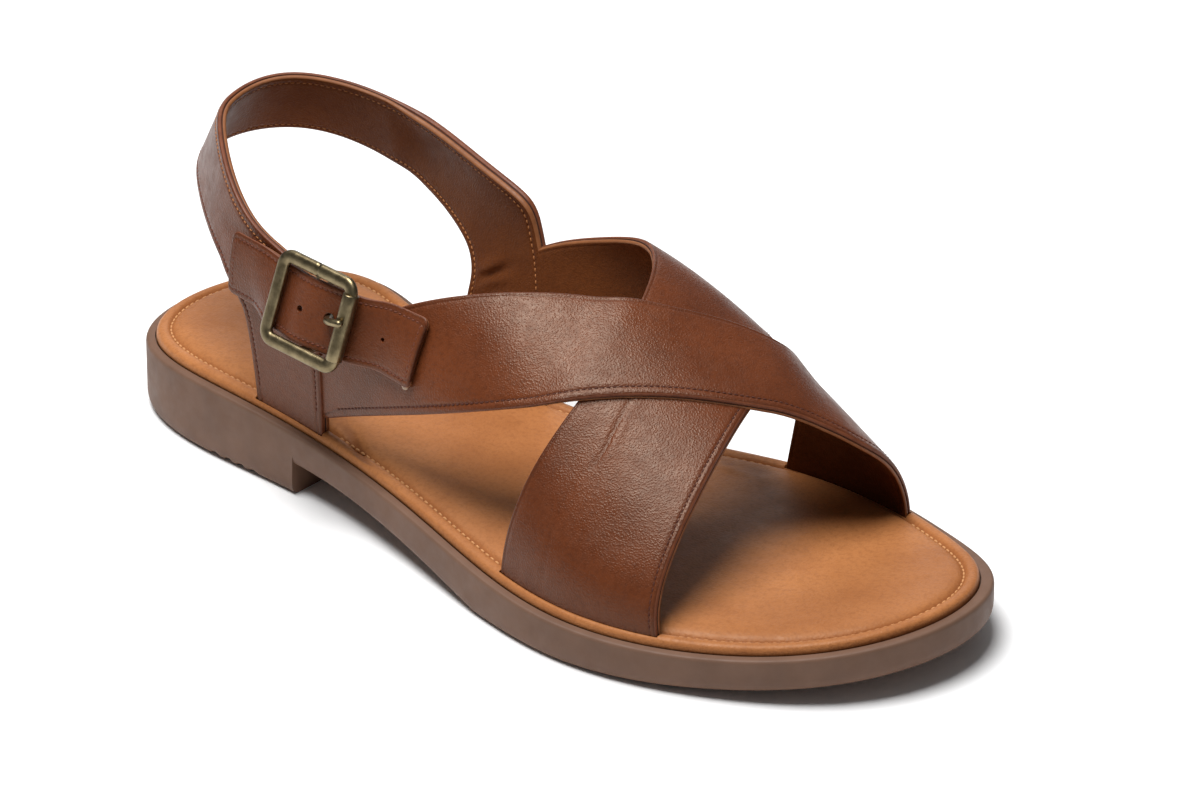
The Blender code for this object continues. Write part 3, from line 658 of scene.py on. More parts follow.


# Creases narrower than this get painted shade, and so do stitch channels, by their depth times the mark
SHARP_CREASE = 2.0
CHANNEL_SHADE = 5.0
# How far the burnish fades in from an edge, and the steps by which a strap's end goes down its slot
BURNISH = 0.9
SLOT_STEPS = np.array([0.3, 0.65, 1.0])


def painted_channel_shade(levels, reach):
    """Mark for the painted shade line in a stitch channel, in the same measure as a crease's."""
    return -CHANNEL_SHADE * np.where(reach > ROLLED_EDGE[-1][0], np.minimum(levels, 1.0 - levels), 0.0)


def strap_mesh(name, strap, rows, columns, edges, slots, creases, materials):
    """Closed strap with rolled two-layer edges, stitch channels and creases, let into its slots."""
    along = np.linspace(0.0, 1.0, rows)
    near, far = edge_rates(strap, along)
    sides = [edge_columns(*edge) for edge in edges]
    across, levels, reach, column_zones = section(near, far, *sides, columns)
    grid_along = np.repeat(along[:, None], across.shape[1], axis=1)
    crease = crease_height(strap, creases, grid_along, across)
    loops = strap.at(grid_along, across, levels[None, :] * strap.thickness + crease)
    narrow = [row for row in creases if row[2] < SHARP_CREASE]
    # Painted shade in narrow creases and stitch channels
    painted_shade = crease_height(strap, narrow, grid_along, across) + painted_channel_shade(levels, reach)
    edge = np.repeat(np.exp(-reach / BURNISH)[None, :], rows, axis=0)
    steps = len(SLOT_STEPS)
    for end in slots:
        base = loops[end]
        extra = np.repeat(base[None], steps, axis=0)
        extra[..., 2] = base[:, 2] + (slot_floor(base[:, 0]) - base[:, 2]) * SLOT_STEPS[:, None]
        still = np.repeat(painted_shade[end][None], steps, axis=0)
        loops = np.concatenate([extra[::-1], loops] if end == 0 else [loops, extra])
        painted_shade = np.concatenate([still, painted_shade] if end == 0 else [painted_shade, still])
        edge = np.concatenate([edge, edge[:steps]])
    faces, zones = loft(loops, column_zones)
    return mesh_from(name, loops.reshape(-1, 3), faces, zones, {"edge": edge, "crease": painted_shade}, materials)


def tube_rings(path, radii, sides=20, start_side=(0.0, 1.0, 0.0)):
    """Rings of points around a path, one radius for each of its points."""
    path = np.asarray(path, dtype=float)
    ahead = unit(np.gradient(path, axis=0))
    side = np.array(start_side)
    turns = circle(sides)
    rings = []
    for point, way, radius in zip(path, ahead, radii):
        side = unit(side - way * (side @ way))
        up = np.cross(way, side)
        rings.append(point + radius * (np.cos(turns)[:, None] * side + np.sin(turns)[:, None] * up))
    return np.stack(rings)


# Columns: place along the stitch from -1 to 1, share of its radius
STITCH_FORM = ((-1.0, 0.0), (-0.92, 0.6), (-0.6, 0.95), (0.0, 1.0), (0.6, 0.95), (0.92, 0.6), (1.0, 0.0))
STITCH_SIDES = 6
STITCH_DIP = 0.6
RUN_POINTS = 500


def read_at(travel, rows, place):
    """Row of three values at a distance along a path."""
    return np.array([np.interp(place, travel, rows[:, c]) for c in range(3)])


def stitch_mesh(name, runs, finish, length, pitch, radius):
    """Stitches laid along runs of (points, outward directions), as one mesh of small rounded bars."""
    points, faces = [], []
    turns = circle(STITCH_SIDES)
    rings = len(STITCH_FORM) - 2
    for path, outward in runs:
        travel = travelled(path)
        count = int(travel[-1] // pitch)
        spare = (travel[-1] - count * pitch) / 2.0
        for k in range(count):
            middle = spare + (k + 0.5) * pitch
            ends = (middle - length / 2.0, middle, middle + length / 2.0)
            tail, centre, head = (read_at(travel, path, place) for place in ends)
            axis = unit(head - tail)
            side = unit(np.cross(read_at(travel, outward, middle), axis))
            normal = np.cross(axis, side)
            ring = np.cos(turns)[:, None] * side + np.sin(turns)[:, None] * normal
            base = len(points)
            for place, swell in STITCH_FORM:
                spot = centre + axis * place * length / 2.0 - normal * radius * STITCH_DIP * place ** 4
                points.extend(spot + radius * swell * ring if swell else [spot])
            last = base + 1 + rings * STITCH_SIDES
            top = last - STITCH_SIDES
            for s in range(STITCH_SIDES):
                t = (s + 1) % STITCH_SIDES
                faces.append((base, base + 1 + t, base + 1 + s))
                faces.append((last, top + s, top + t))
                for r in range(rings - 1):
                    low, high = base + 1 + r * STITCH_SIDES, base + 1 + (r + 1) * STITCH_SIDES
                    faces.append((low + s, low + t, high + t, high + s))
    return mesh_from(name, points, faces, materials=(finish,))


def edge_run(strap, edges, far_edge, outer_face, start, stop, sink):
    """Path of a stitch row in the channel by one edge, on the outer face or the lining."""
    along = np.linspace(start, stop, RUN_POINTS)
    near, far = edge_rates(strap, along)
    inset = edges[far_edge][0]
    across = 1.0 - inset / far if far_edge else inset / near
    outer = strap.at(along, across, np.full_like(along, strap.thickness))
    inner = strap.at(along, across, np.zeros_like(along))
    outward = unit((outer - inner) * (1.0 if outer_face else -1.0))
    return (outer if outer_face else inner) - outward * sink, outward


# Materials
def shader(name):
    made = bpy.data.materials.new(name)
    made.use_nodes = True
    return made, made.node_tree.nodes["Principled BSDF"]


class Nodes:
    """Short calls for adding and linking the nodes of one material."""

    def __init__(self, tree):
        self.tree = tree
        self.coordinates = tree.nodes.new("ShaderNodeTexCoord").outputs["Object"]

    def add(self, kind, settings=None, **inputs):
        node = self.tree.nodes.new(kind)
        for key, value in (settings or {}).items():
            setattr(node, key, value)
        for key, value in inputs.items():
            self.feed(node.inputs[key], value)
        return node

    def feed(self, socket, value):
        if isinstance(value, bpy.types.NodeSocket):
            self.tree.links.new(value, socket)
        else:
            socket.default_value = value

    def noise(self, scale, detail, rough):
        inputs = {"Vector": self.coordinates, "Scale": scale, "Detail": detail, "Roughness": rough}
        return self.add("ShaderNodeTexNoise", **inputs).outputs["Fac"]

    def cells(self, scale):
        inputs = {"Vector": self.coordinates, "Scale": scale}
        return self.add("ShaderNodeTexVoronoi", {"feature": "SMOOTH_F1"}, **inputs).outputs["Distance"]

    def stretch(self, value, low, high, to_low=0.0, to_high=1.0):
        ends = {"From Min": low, "From Max": high, "To Min": to_low, "To Max": to_high}
        return self.add("ShaderNodeMapRange", Value=value, **ends).outputs["Result"]

    def patches(self, row, to_low=0.0, to_high=1.0):
        scale, detail, rough, low, high = row
        return self.stretch(self.noise(scale, detail, rough), low, high, to_low, to_high)

    def math(self, operation, first, second):
        node = self.add("ShaderNodeMath", {"operation": operation})
        self.feed(node.inputs[0], first)
        self.feed(node.inputs[1], second)
        return node.outputs[0]

    def mix(self, share, first, second):
        node = self.add("ShaderNodeMix", {"data_type": "RGBA"}, Factor=share)
        for socket, colour in ((node.inputs[6], first), (node.inputs[7], second)):
            self.feed(socket, (*colour, 1.0) if isinstance(colour, tuple) else colour)
        return node.outputs[2]

    def mark(self, key):
        return self.add("ShaderNodeAttribute", {"attribute_name": key}).outputs["Fac"]

    def bump(self, height, distance, strength=1.0, below=None):
        node = self.add("ShaderNodeBump", Strength=strength, Distance=distance, Height=height)
        if below is not None:
            self.feed(node.inputs["Normal"], below)
        return node.outputs["Normal"]


# Columns: scale, detail and roughness of a noise, low and high of the range that is stretched
CLOUDS = (38.0, 4.0, 0.6, 0.32, 0.7)
FLECKS = (900.0, 2.0, 0.6, 0.45, 0.75)
STAINS = (16.0, 4.0, 0.6, 0.45, 0.75)
SHEEN = (260.0, 3.0, 0.6, 0.3, 0.7)
FLECK_STRENGTH = 0.35
# Columns: low and high of a mark, and how far it darkens the leather there
BURNISHED = (0.25, 1.0, 0.0, 0.75)
# Painted shade in the troughs of narrow creases, stitch channels and the footbed's groove
PAINTED_CREASE_SHADE = (0.05, 0.5, 0.0, 0.55)
PEBBLE_REACH = 0.55
PEBBLE_HEIGHT = -0.8
FINE_HEIGHT = 0.5
FINE_SCALE = 1.4
SWELLS = (150.0, 2.0, 0.5)
SWELL_HEIGHT = 0.0004
SWELL_STRENGTH = 0.07
WARM_GLOSS = (1.0, 0.84, 0.68, 1.0)
# How far the roughness goes below and above its middle
SHEEN_BELOW = 0.06
SHEEN_SPREAD = 0.08
# Plain finishes: their patches as above but for the scale, and how much finer their sheen and bumps are
PLAIN_PATCHES = (4.0, 0.6, 0.35, 0.68)
SHEEN_FINENESS = 2.5
BUMP_FINENESS = 4.0
BUMP_STRENGTH = 0.5


def leather(name, light, dark, deep, grain, depth, rough, specular, stain=0.0, marked=False):
    """Leather with pebbled grain, uneven colour, stains, and where the mesh marks them, burnished edges or
    dark patches and painted shade in creases and stitch channels.
    """
    made, bsdf = shader(name)
    n = Nodes(made.node_tree)
    colour = n.mix(n.patches(CLOUDS), dark, light)
    colour = n.mix(n.patches(FLECKS, 0.0, FLECK_STRENGTH), colour, deep)
    if stain:
        colour = n.mix(n.patches(STAINS, 0.0, stain), colour, deep)
    if marked:
        # Burnished edges on the straps; on the footbed this mark holds its dark patches
        colour = n.mix(n.stretch(n.mark("edge"), *BURNISHED), colour, deep)
        # Painted shade: darker in narrow creases, stitch channels and the footbed's groove
        colour = n.mix(n.stretch(n.math("MULTIPLY", n.mark("crease"), -1.0), *PAINTED_CREASE_SHADE), colour, deep)
    n.feed(bsdf.inputs["Base Color"], colour)
    pebbles = n.math("MULTIPLY", n.stretch(n.cells(grain), 0.0, PEBBLE_REACH), PEBBLE_HEIGHT)
    fine = n.math("MULTIPLY", n.noise(grain * FINE_SCALE, *SWELLS[1:]), FINE_HEIGHT)
    low = n.bump(n.noise(*SWELLS), SWELL_HEIGHT, SWELL_STRENGTH)
    n.feed(bsdf.inputs["Normal"], n.bump(n.math("ADD", pebbles, fine), depth, 1.0, low))
    n.feed(bsdf.inputs["Specular IOR Level"], specular)
    n.feed(bsdf.inputs["Specular Tint"], WARM_GLOSS)
    n.feed(bsdf.inputs["Roughness"], n.patches(SHEEN, rough - SHEEN_BELOW, rough + SHEEN_SPREAD))
    return made


def plain_finish(name, first, second, scale, rough, depth=0.0001, metallic=0.0, specular=0.3):
    """Finish of two mixed colours with a fine uneven surface."""
    made, bsdf = shader(name)
    n = Nodes(made.node_tree)
    n.feed(bsdf.inputs["Base Color"], n.mix(n.patches((scale, *PLAIN_PATCHES)), first, second))
    sheen = (scale * SHEEN_FINENESS, *SHEEN[1:])
    n.feed(bsdf.inputs["Roughness"], n.patches(sheen, rough - SHEEN_SPREAD, rough + SHEEN_SPREAD))
    bumps = n.noise(scale * BUMP_FINENESS, *SHEEN[1:3])
    n.feed(bsdf.inputs["Normal"], n.bump(bumps, depth, BUMP_STRENGTH))
    n.feed(bsdf.inputs["Metallic"], metallic)
    n.feed(bsdf.inputs["Specular IOR Level"], specular)
    return made


# Leathers: light, dark and deep colour, grain, its depth, roughness and gloss
STRAP_LEATHER = leather(
    "strap_outer", (0.150, 0.0380, 0.0115), (0.100, 0.0248, 0.0080), (0.040, 0.0095, 0.0040),
    2200.0, 0.00008, 0.36, 0.35, stain=0.3, marked=True)
LINING_LEATHER = leather(
    "strap_lining", (0.140, 0.042, 0.0115), (0.096, 0.027, 0.0075), (0.05, 0.014, 0.005),
    2200.0, 0.00008, 0.46, 0.14)
INSOLE_LEATHER = leather(
    "insole_cover", (0.48, 0.192, 0.066), (0.375, 0.138, 0.044), (0.20, 0.066, 0.022),
    1700.0, 0.00006, 0.46, 0.25, stain=0.32, marked=True)
# Plain finishes: two colours, scale of their patches and roughness
OUTER_CUT = plain_finish("strap_edge", (0.13, 0.036, 0.014), (0.19, 0.058, 0.023), 300.0, 0.45)
SEAM_DARK = plain_finish("strap_seam", (0.04, 0.012, 0.006), (0.065, 0.019, 0.008), 500.0, 0.7)
LINING_CUT = plain_finish("lining_edge", (0.26, 0.095, 0.032), (0.20, 0.07, 0.024), 400.0, 0.5)
RUBBER = plain_finish("sole_rubber", (0.166, 0.0885, 0.0555), (0.136, 0.072, 0.0450), 90.0, 0.58)
BRASS = plain_finish("antique_brass_finish", (0.29, 0.229, 0.131), (0.135, 0.105, 0.057), 260.0, 0.36,
                     0.00005, 1.0, 0.5)
DARK_THREAD = plain_finish("dark_thread", (0.065, 0.016, 0.009), (0.10, 0.027, 0.013), 1500.0, 0.6)
RED_THREAD = plain_finish("red_thread", (0.17, 0.048, 0.024), (0.11, 0.030, 0.015), 1500.0, 0.6)
TAN_THREAD = plain_finish("tan_thread", (0.40, 0.155, 0.048), (0.29, 0.108, 0.035), 1500.0, 0.6)
LIGHT_THREAD = plain_finish("light_thread", (0.60, 0.30, 0.125), (0.50, 0.235, 0.09), 1500.0, 0.6)
RIVET = plain_finish("rivet_finish", (0.55, 0.40, 0.29), (0.42, 0.29, 0.20), 600.0, 0.4)
STRAP_FINISHES = (STRAP_LEATHER, OUTER_CUT, SEAM_DARK, LINING_LEATHER, LINING_CUT)

# Straps: how far the stitch channel is from the rear or lower and the front or upper edge, and its depth
OVER_EDGES = ((1.2, 0.05), (2.2, 0.07))
UNDER_EDGES = ((1.1, 0.05), (1.6, 0.07))
SLING_EDGES = ((1.7, 0.06), (1.9, 0.06))
over = CrossStrap(OVER_STRAP, climbs_over)
under = CrossStrap(UNDER_STRAP, lies_flat)
sling = Sling()

# Columns: line on the strap as places along and across it, height in mm, width in mm
UNDER_CREASES = (
    (((0.350, 0.285), (0.290, 0.310), (0.258, 0.330), (0.225, 0.330)), -0.42, 0.60),
    (((0.345, 0.325), (0.290, 0.348), (0.258, 0.367), (0.230, 0.368)), 0.16, 1.3),
    (((0.235, 0.315), (0.158, 0.275), (0.088, 0.300), (0.000, 0.320)), -0.16, 0.8),
    (((0.190, 0.420), (0.165, 0.620), (0.170, 0.850)), -0.30, 7.0),
    (((0.275, 0.120), (0.230, 0.180), (0.190, 0.200)), -0.25, 4.0),
    (((0.090, 0.150), (0.080, 0.500), (0.085, 0.850)), 0.35, 8.0),
)
OVER_CREASES = (
    (((0.300, 0.150), (0.270, 0.500), (0.240, 0.850)), 0.30, 9.0),
    (((0.200, 0.250), (0.185, 0.550), (0.170, 0.800)), -0.40, 9.0),
    (((0.450, 0.200), (0.480, 0.500), (0.470, 0.800)), -0.30, 8.0),
)
SLING_CREASES = (
    (((0.922, 0.120), (0.930, 0.300), (0.932, 0.480)), -0.40, 1.1),
    (((0.930, 0.150), (0.936, 0.350), (0.938, 0.550)), -0.50, 1.0),
    (((0.945, 0.250), (0.951, 0.450), (0.957, 0.700)), -0.55, 1.0),
    (((0.958, 0.150), (0.966, 0.400), (0.970, 0.600)), -0.50, 1.0),
    (((0.938, 0.200), (0.944, 0.420), (0.948, 0.640)), 0.45, 1.2),
    (((0.950, 0.080), (0.958, 0.280), (0.962, 0.450)), 0.40, 1.1),
    (((0.250, 0.200), (0.240, 0.500), (0.245, 0.800)), -0.25, 7.0),
    (((0.800, 0.200), (0.810, 0.500), (0.805, 0.800)), 0.22, 8.0),
)

# Columns: piece, strap, rows and columns of its mesh, edges, ends that go down a slot, creases
STRAPS = (
    ("strap_over", over, 210, 40, OVER_EDGES, (-1,), OVER_CREASES),
    ("strap_under", under, 230, 60, UNDER_EDGES, (0,), UNDER_CREASES),
    ("sling", sling, 330, 30, SLING_EDGES, (0, -1), SLING_CREASES),
)
for row in STRAPS:
    add_piece(strap_mesh(*row, STRAP_FINISHES), "strap_leather", "upper")

# Columns: strap, its edges, upper or front edge or the other, outer face or lining, start and stop
STRAP_ROWS = (
    (over, OVER_EDGES, True, True, 0.02, 0.985),
    (under, UNDER_EDGES, True, True, 0.015, 0.9),
)
SLING_TAN_ROWS = (
    (sling, SLING_EDGES, True, False, 0.01, 0.99),
    (sling, SLING_EDGES, False, False, 0.01, 0.99),
    (sling, SLING_EDGES, True, True, 0.17, 0.83),
)
SLING_RED_ROWS = (
    (sling, SLING_EDGES, False, True, 0.01, 0.99),
    (sling, SLING_EDGES, True, True, 0.01, 0.165),
    (sling, SLING_EDGES, True, True, 0.835, 0.99),
)
# Columns: piece, rows, thread, depth in the channel, then length, pitch and radius of a stitch
STITCHING = (
    ("strap_stitches", STRAP_ROWS, DARK_THREAD, 0.08, 1.05, 1.5, 0.2),
    ("sling_stitches", SLING_TAN_ROWS, TAN_THREAD, 0.05, 1.05, 1.55, 0.19),
    ("post_stitches", SLING_RED_ROWS, RED_THREAD, 0.05, 1.05, 1.55, 0.19),
)
for label, rows, thread, sink, *stitch in STITCHING:
    runs = [edge_run(*row, sink) for row in rows]
    add_piece(stitch_mesh(label, runs, thread, *stitch), "strap_leather")


# Sole and footbed
BREAST_CLEAR = 1.2
BREAST_STEPS = np.array([-0.5, -0.2, 0.2, 0.5])


def half_stations(count):
    """Stations from heel to toe with four more at the heel's breast, as turns of the outline."""
    even = SOLE_LENGTH / 2.0 * (1.0 - np.cos(np.linspace(0.0, np.pi, count + 1)))
    even = even[np.abs(even - HEEL_LENGTH) > BREAST_CLEAR * BREAST_DRAFT]
    breast = HEEL_LENGTH + BREAST_DRAFT * BREAST_STEPS
    return turn_at(np.sort(np.concatenate([even, breast])))


def around(half):
    return np.concatenate([half, 360.0 - half[-2:0:-1]])


def ring_solid(name, rings, columns, bottom_shape, top_shape, materials):
    """Closed solid through rings, with a grid of points across the first ring and across the last."""
    size = len(rings[0])
    points = [p for ring in rings for p in ring]
    faces = band_faces(len(rings), size)
    share = np.linspace(0.0, 1.0, columns + 1)[1:-1]
    for base, form in ((0, bottom_shape), ((len(rings) - 1) * size, top_shape)):
        ring = rings[0] if base == 0 else rings[-1]
        rows = []
        for i in range(1, size // 2):
            left, right = ring[i], ring[size - i]
            across = left + (right - left) * share[:, None]
            first = len(points)
            points.extend(form(across, left, right))
            rows.append([base + i] + list(range(first, first + len(share))) + [base + size - i])
        for a, b in zip(rows[:-1], rows[1:]):
            for k in range(columns):
                faces.append((a[k], a[k + 1], b[k + 1], b[k]))
        for tip, row in ((base, rows[0]), (base + size // 2, rows[-1])):
            for k in range(columns):
                faces.append((tip, row[k], row[k + 1]))
    return mesh_from(name, points, faces, materials=materials)


# Columns: inset from the rim line, height over the tread, height under the rim (one of them is None)
SOLE_SIDE = (
    (2.4, 0.0, None),
    (1.5, 0.15, None),
    (0.9, 0.5, None),
    (0.5, 1.0, None),
    (0.2, 1.8, None),
    (0.05, 2.6, None),
    (0.0, 3.4, None),
    (0.0, None, 1.2),
    (0.05, None, 0.75),
    (0.2, None, 0.35),
    (0.45, None, 0.1),
    (0.9, None, 0.0),
)


def keep(across, left, right):
    return list(across)


# Tread: pitch and depth of its grooves, level and ease of their wave, the plain border and its ease,
# and the plain lengths at the heel's back, before its breast and at the toe
TREAD_PITCH = 6.0
TREAD_DEPTH = 0.8
TREAD_LEVEL = 0.55
TREAD_EASE = 0.35
TREAD_BORDER = 5.0
BORDER_EASE = 1.5
PLAIN_BACK = 10.0
PLAIN_BREAST = 8.0
PLAIN_TOE = 16.0


def tread(across, left, right):
    """Shallow cross grooves in the underside, clear of its border."""
    across = across.copy()
    inside = np.minimum(across[:, 1] - left[1], right[1] - across[:, 1])
    x = across[:, 0]
    heel = (x > PLAIN_BACK) & (x < HEEL_LENGTH - PLAIN_BREAST)
    forefoot = (x > WAIST_END) & (x < SOLE_LENGTH - PLAIN_TOE)
    wave = smoothstep((np.cos(2.0 * np.pi * x / TREAD_PITCH) - TREAD_LEVEL) / TREAD_EASE)
    wave *= smoothstep((inside - TREAD_BORDER) / BORDER_EASE) * (heel | forefoot)
    across[:, 2] += TREAD_DEPTH * wave
    return list(across)


# Places along the heel's outer bottom edge where tread grooves come through
NOTCHES = (44.0, 49.0, 53.5, 58.0)
NOTCH_DEPTH = 0.9
NOTCH_HEIGHT = 0.7
NOTCH_REACH = 1.6
SOLE_STATIONS = 420
SOLE_COLUMNS = 26
SOLE_CREASE_ANGLE = 50.0


def make_outsole():
    turns = around(half_stations(SOLE_STATIONS))
    rim_x = outline(turns)[:, 0]
    low, high = tread_height(rim_x), rim_height(rim_x)
    away = np.abs(rim_x[:, None] - np.array(NOTCHES)).min(axis=1)
    notch = smoothstep(NOTCH_REACH - away) * (turns < 180.0)
    rings = []
    for inset, over_tread, under_rim in SOLE_SIDE:
        if under_rim is None:
            share = notch * np.clip(1.0 - over_tread / (2.0 * NOTCH_HEIGHT), 0.0, 1.0)
            plan = outline(turns, inset + NOTCH_DEPTH * share)
            rings.append(np.column_stack([plan, low + over_tread + NOTCH_HEIGHT * share]))
        else:
            plan = outline(turns, np.full(len(turns), inset))
            rings.append(np.column_stack([plan, high - under_rim]))
    ledge = outline(turns, insole_inset(turns) - GAP)
    rings.append(np.column_stack([ledge, rim_height(ledge[:, 0])]))
    rings.append(np.column_stack([ledge, rim_height(ledge[:, 0]) - RECESS_DEPTH]))
    mesh = ring_solid("outsole_rubber", rings, SOLE_COLUMNS, tread, keep, (RUBBER,))
    mesh.set_sharp_from_angle(angle=math.radians(SOLE_CREASE_ANGLE))
    add_piece(mesh, "rubber", "outsole")


# Columns: distance in from the insole's edge, height over the rim
INSOLE_PROFILE = (
    (0.0, GAP - RECESS_DEPTH),
    (0.0, 0.5),
    (0.08, 1.0),
    (0.3, 1.6),
    (0.7, 2.05),
    (1.3, 2.32),
    (2.0, 2.42),
    (2.6, 2.35),
    (3.1, 2.12),
    (3.5, 1.62),
    (3.75, 1.32),
    (3.9, 1.24),
    (4.05, 1.32),
    (4.3, 1.64),
    (4.8, 2.15),
    (5.6, 2.6),
    (7.0, 2.95),
    (9.0, 3.18),
    (12.0, 3.3),
)
GROOVE = 3.9
# Width and strength of the painted shade along the stitch groove
GROOVE_WIDTH = 0.5
GROOVE_SHADE = 0.5
GROOVE_THREAD = 1.44
# Length, pitch and radius of a stitch
FOOTBED_STITCH = (1.55, 2.1, 0.3)
BORDER_TOP = 1.0
FOOTBED_STATIONS = 260
FOOTBED_COLUMNS = 60
FOOTBED_CREASE_POINTS = 60
SLOT_STATIONS = 40


def slot_mesh(name, start, stop, inner_side, inside, outside):
    """Upright plank that cuts a strap's slot through the footbed."""
    x = np.linspace(start - SLOT_MARGIN, stop + SLOT_MARGIN, SLOT_STATIONS)
    angle = np.full_like(x, np.pi if inner_side else 0.0)
    low, high = inside - SLOT_MARGIN, outside + SLOT_MARGIN
    loops = []
    for offset, at_top in ((low, False), (low, True), (high, True), (high, False)):
        base = last_point(x, angle, offset)
        base[:, 2] = base[:, 2] + SLOT_TOP if at_top else slot_floor(x) - RECESS_DEPTH
        loops.append(base)
    return loft_mesh(name, np.stack(loops, axis=1))


def cut(piece, meshes, operation="DIFFERENCE", solver="EXACT"):
    """Cuts or joins the piece with each mesh, one after the other, and makes that its own mesh."""
    tools = [link_object(mesh.name, mesh) for mesh in meshes]
    for tool in tools:
        step = piece.modifiers.new(tool.name, "BOOLEAN")
        step.operation = operation
        step.object = tool
        step.solver = solver
    bpy.context.view_layer.update()
    graph = bpy.context.evaluated_depsgraph_get()
    made = bpy.data.meshes.new_from_object(piece.evaluated_get(graph), preserve_all_data_layers=True,
                                           depsgraph=graph)
    piece.modifiers.clear()
    piece.data = made
    for tool in tools:
        bpy.data.objects.remove(tool)


# Columns: slot, x of its rear and its front end, inner side or outer, depth of its two walls
SLOTS = (
    ("slot_under_strap", UNDER_STRAP[0][1], UNDER_STRAP[0][2], False, 0.0, STRAP_THICKNESS),
    ("slot_over_strap", OVER_STRAP[-1][1], OVER_STRAP[-1][2], True, 0.0, STRAP_THICKNESS),
    ("slot_outer_post", SLING[0][1], SLING[0][4], False, -POST_LAP, POST_OUTSIDE),
    ("slot_inner_post", SLING[-1][1], SLING[-1][4], True, -POST_LAP, POST_OUTSIDE),
)

# Columns: line over the footbed in plan, height in mm, width in mm
FOOTBED_CREASES = (
    (((80.9, -24.9), (85.0, -26.6), (90.4, -29.8), (96.1, -33.8), (100.5, -37.0)), -1.00, 1.5),
    (((81.5, -23.4), (86.0, -25.1), (91.2, -28.2), (97.0, -32.2)), 0.70, 1.6),
    (((157.0, 31.6), (159.7, 31.1), (164.9, 30.4), (169.6, 33.0), (172.9, 35.1)), -0.80, 1.4),
    (((158.0, 29.7), (163.0, 28.8), (169.0, 31.0)), 0.50, 1.5),
)
PAD_HEIGHT = INSOLE_PROFILE[-1][1]

# Columns: place in plan, reach along and across, strength of a dark patch
FOOTBED_DARK_PATCHES = (
    (34.0, 2.0, 30.0, 22.0, 0.80),
    (112.0, -6.0, 34.0, 24.0, 0.50),
)


def footbed_crease(points):
    """Height of the footbed's creases at points, by their places in plan."""
    return crease_sum(points[:, :2], FOOTBED_CREASES, np.asarray, FOOTBED_CREASE_POINTS)


def footbed_dark_patches(points):
    """Strength of the dark patches over the footbed at points, by their places in plan."""
    darkness = np.zeros(len(points))
    for x, y, along, across, strength in FOOTBED_DARK_PATCHES:
        darkness += strength * np.exp(-((points[:, 0] - x) / along) ** 2 - ((points[:, 1] - y) / across) ** 2)
    return darkness


def pad(across, left, right):
    across = across.copy()
    across[:, 2] = rim_height(across[:, 0]) + PAD_HEIGHT + footbed_crease(across)
    return list(across)


def make_footbed():
    turns = around(half_stations(FOOTBED_STATIONS))
    edge = insole_inset(turns)
    rings, marks = [], []
    for distance, height in INSOLE_PROFILE:
        plan = outline(turns, edge + distance)
        crease = footbed_crease(plan) * (distance > BORDER_TOP)
        rings.append(np.column_stack([plan, rim_height(plan[:, 0]) + height + crease]))
        # Painted shade: the mark darkens the footbed's creases and its stitch groove
        marks.append(crease - GROOVE_SHADE * math.exp(-((distance - GROOVE) / GROOVE_WIDTH) ** 2))
    mesh = ring_solid("footbed", rings, FOOTBED_COLUMNS, keep, pad, (INSOLE_LEATHER,))
    places = np.empty(len(mesh.vertices) * 3)
    mesh.vertices.foreach_get("co", places)
    places = places.reshape(-1, 3) / MM + ORIGIN
    marks = np.concatenate(marks)
    set_mark(mesh, "crease", np.concatenate([marks, footbed_crease(places[len(marks):])]))
    set_mark(mesh, "edge", footbed_dark_patches(places))
    piece = add_piece(mesh, "insole_leather", "insole")
    cut(piece, [slot_mesh(*row) for row in SLOTS])


# Points round the footbed's groove, plain length beside a slot, and the fewest points of a stitch run
GROOVE_POINTS = 1400
SLOT_CLEAR = 2.0
SHORTEST_RUN = 5


def footbed_runs():
    """Stitch runs in the footbed's groove, broken where straps go down into their slots."""
    turns = np.linspace(0.0, 360.0, GROOVE_POINTS)
    plan = outline(turns, insole_inset(turns) + GROOVE)
    x, inner = plan[:, 0], turns > 180.0
    clear = np.ones(len(turns), dtype=bool)
    for _, start, stop, inner_side, _, _ in SLOTS:
        clear &= ~((inner == inner_side) & (x > start - SLOT_CLEAR) & (x < stop + SLOT_CLEAR))
    points = np.column_stack([plan, rim_height(x) + GROOVE_THREAD])
    runs = []
    for part in np.split(np.arange(len(turns)), np.where(np.diff(clear.astype(int)) != 0)[0] + 1):
        if clear[part[0]] and len(part) >= SHORTEST_RUN:
            runs.append((points[part], np.tile([0.0, 0.0, 1.0], (len(part), 1))))
    return runs


make_outsole()
make_footbed()
add_piece(stitch_mesh("footbed_stitches", footbed_runs(), LIGHT_THREAD, *FOOTBED_STITCH), "insole_leather")

# Billet, tab and buckle
BILLET_LENGTH = BILLET_PATH[-1][0] - BILLET_PATH[0][0]
BILLET_STITCH = 1.6
THREAD_SINK = 0.06
# Length, pitch and radius of a stitch
BILLET_THREAD = (1.0, 1.45, 0.21)
BILLET_RUN_POINTS = 200
BILLET_CREASES = (
    (((0.900, 0.15), (0.880, 0.50), (0.900, 0.85)), 0.30, 5.0),
    (((0.130, 0.15), (0.120, 0.50), (0.130, 0.85)), 0.25, 6.0),
)
billet = Billet()


def prism(name, ring, low, high):
    """Upright cutter on the buckle's axes between two depths."""
    ends = [AXES.place(np.column_stack([ring, np.full(len(ring), depth)])) for depth in (low, high)]
    return loft_mesh(name, np.stack(ends))


# Rows near each end of the billet by their distance from it, and how thick the leather is at the first ones
END_ROWS = np.array([0.0, 0.06, 0.18, 0.36, 0.62, 0.9, 1.3, 1.7])
END_PINCH = (0.45, 0.7, 0.86, 0.95, 0.99, 1.0)
BILLET_ROWS = 130
BILLET_COLUMNS = 20
BILLET_SINK = 0.07
SMALL_BURNISH = 0.8
PUNCH_SIDES = 32


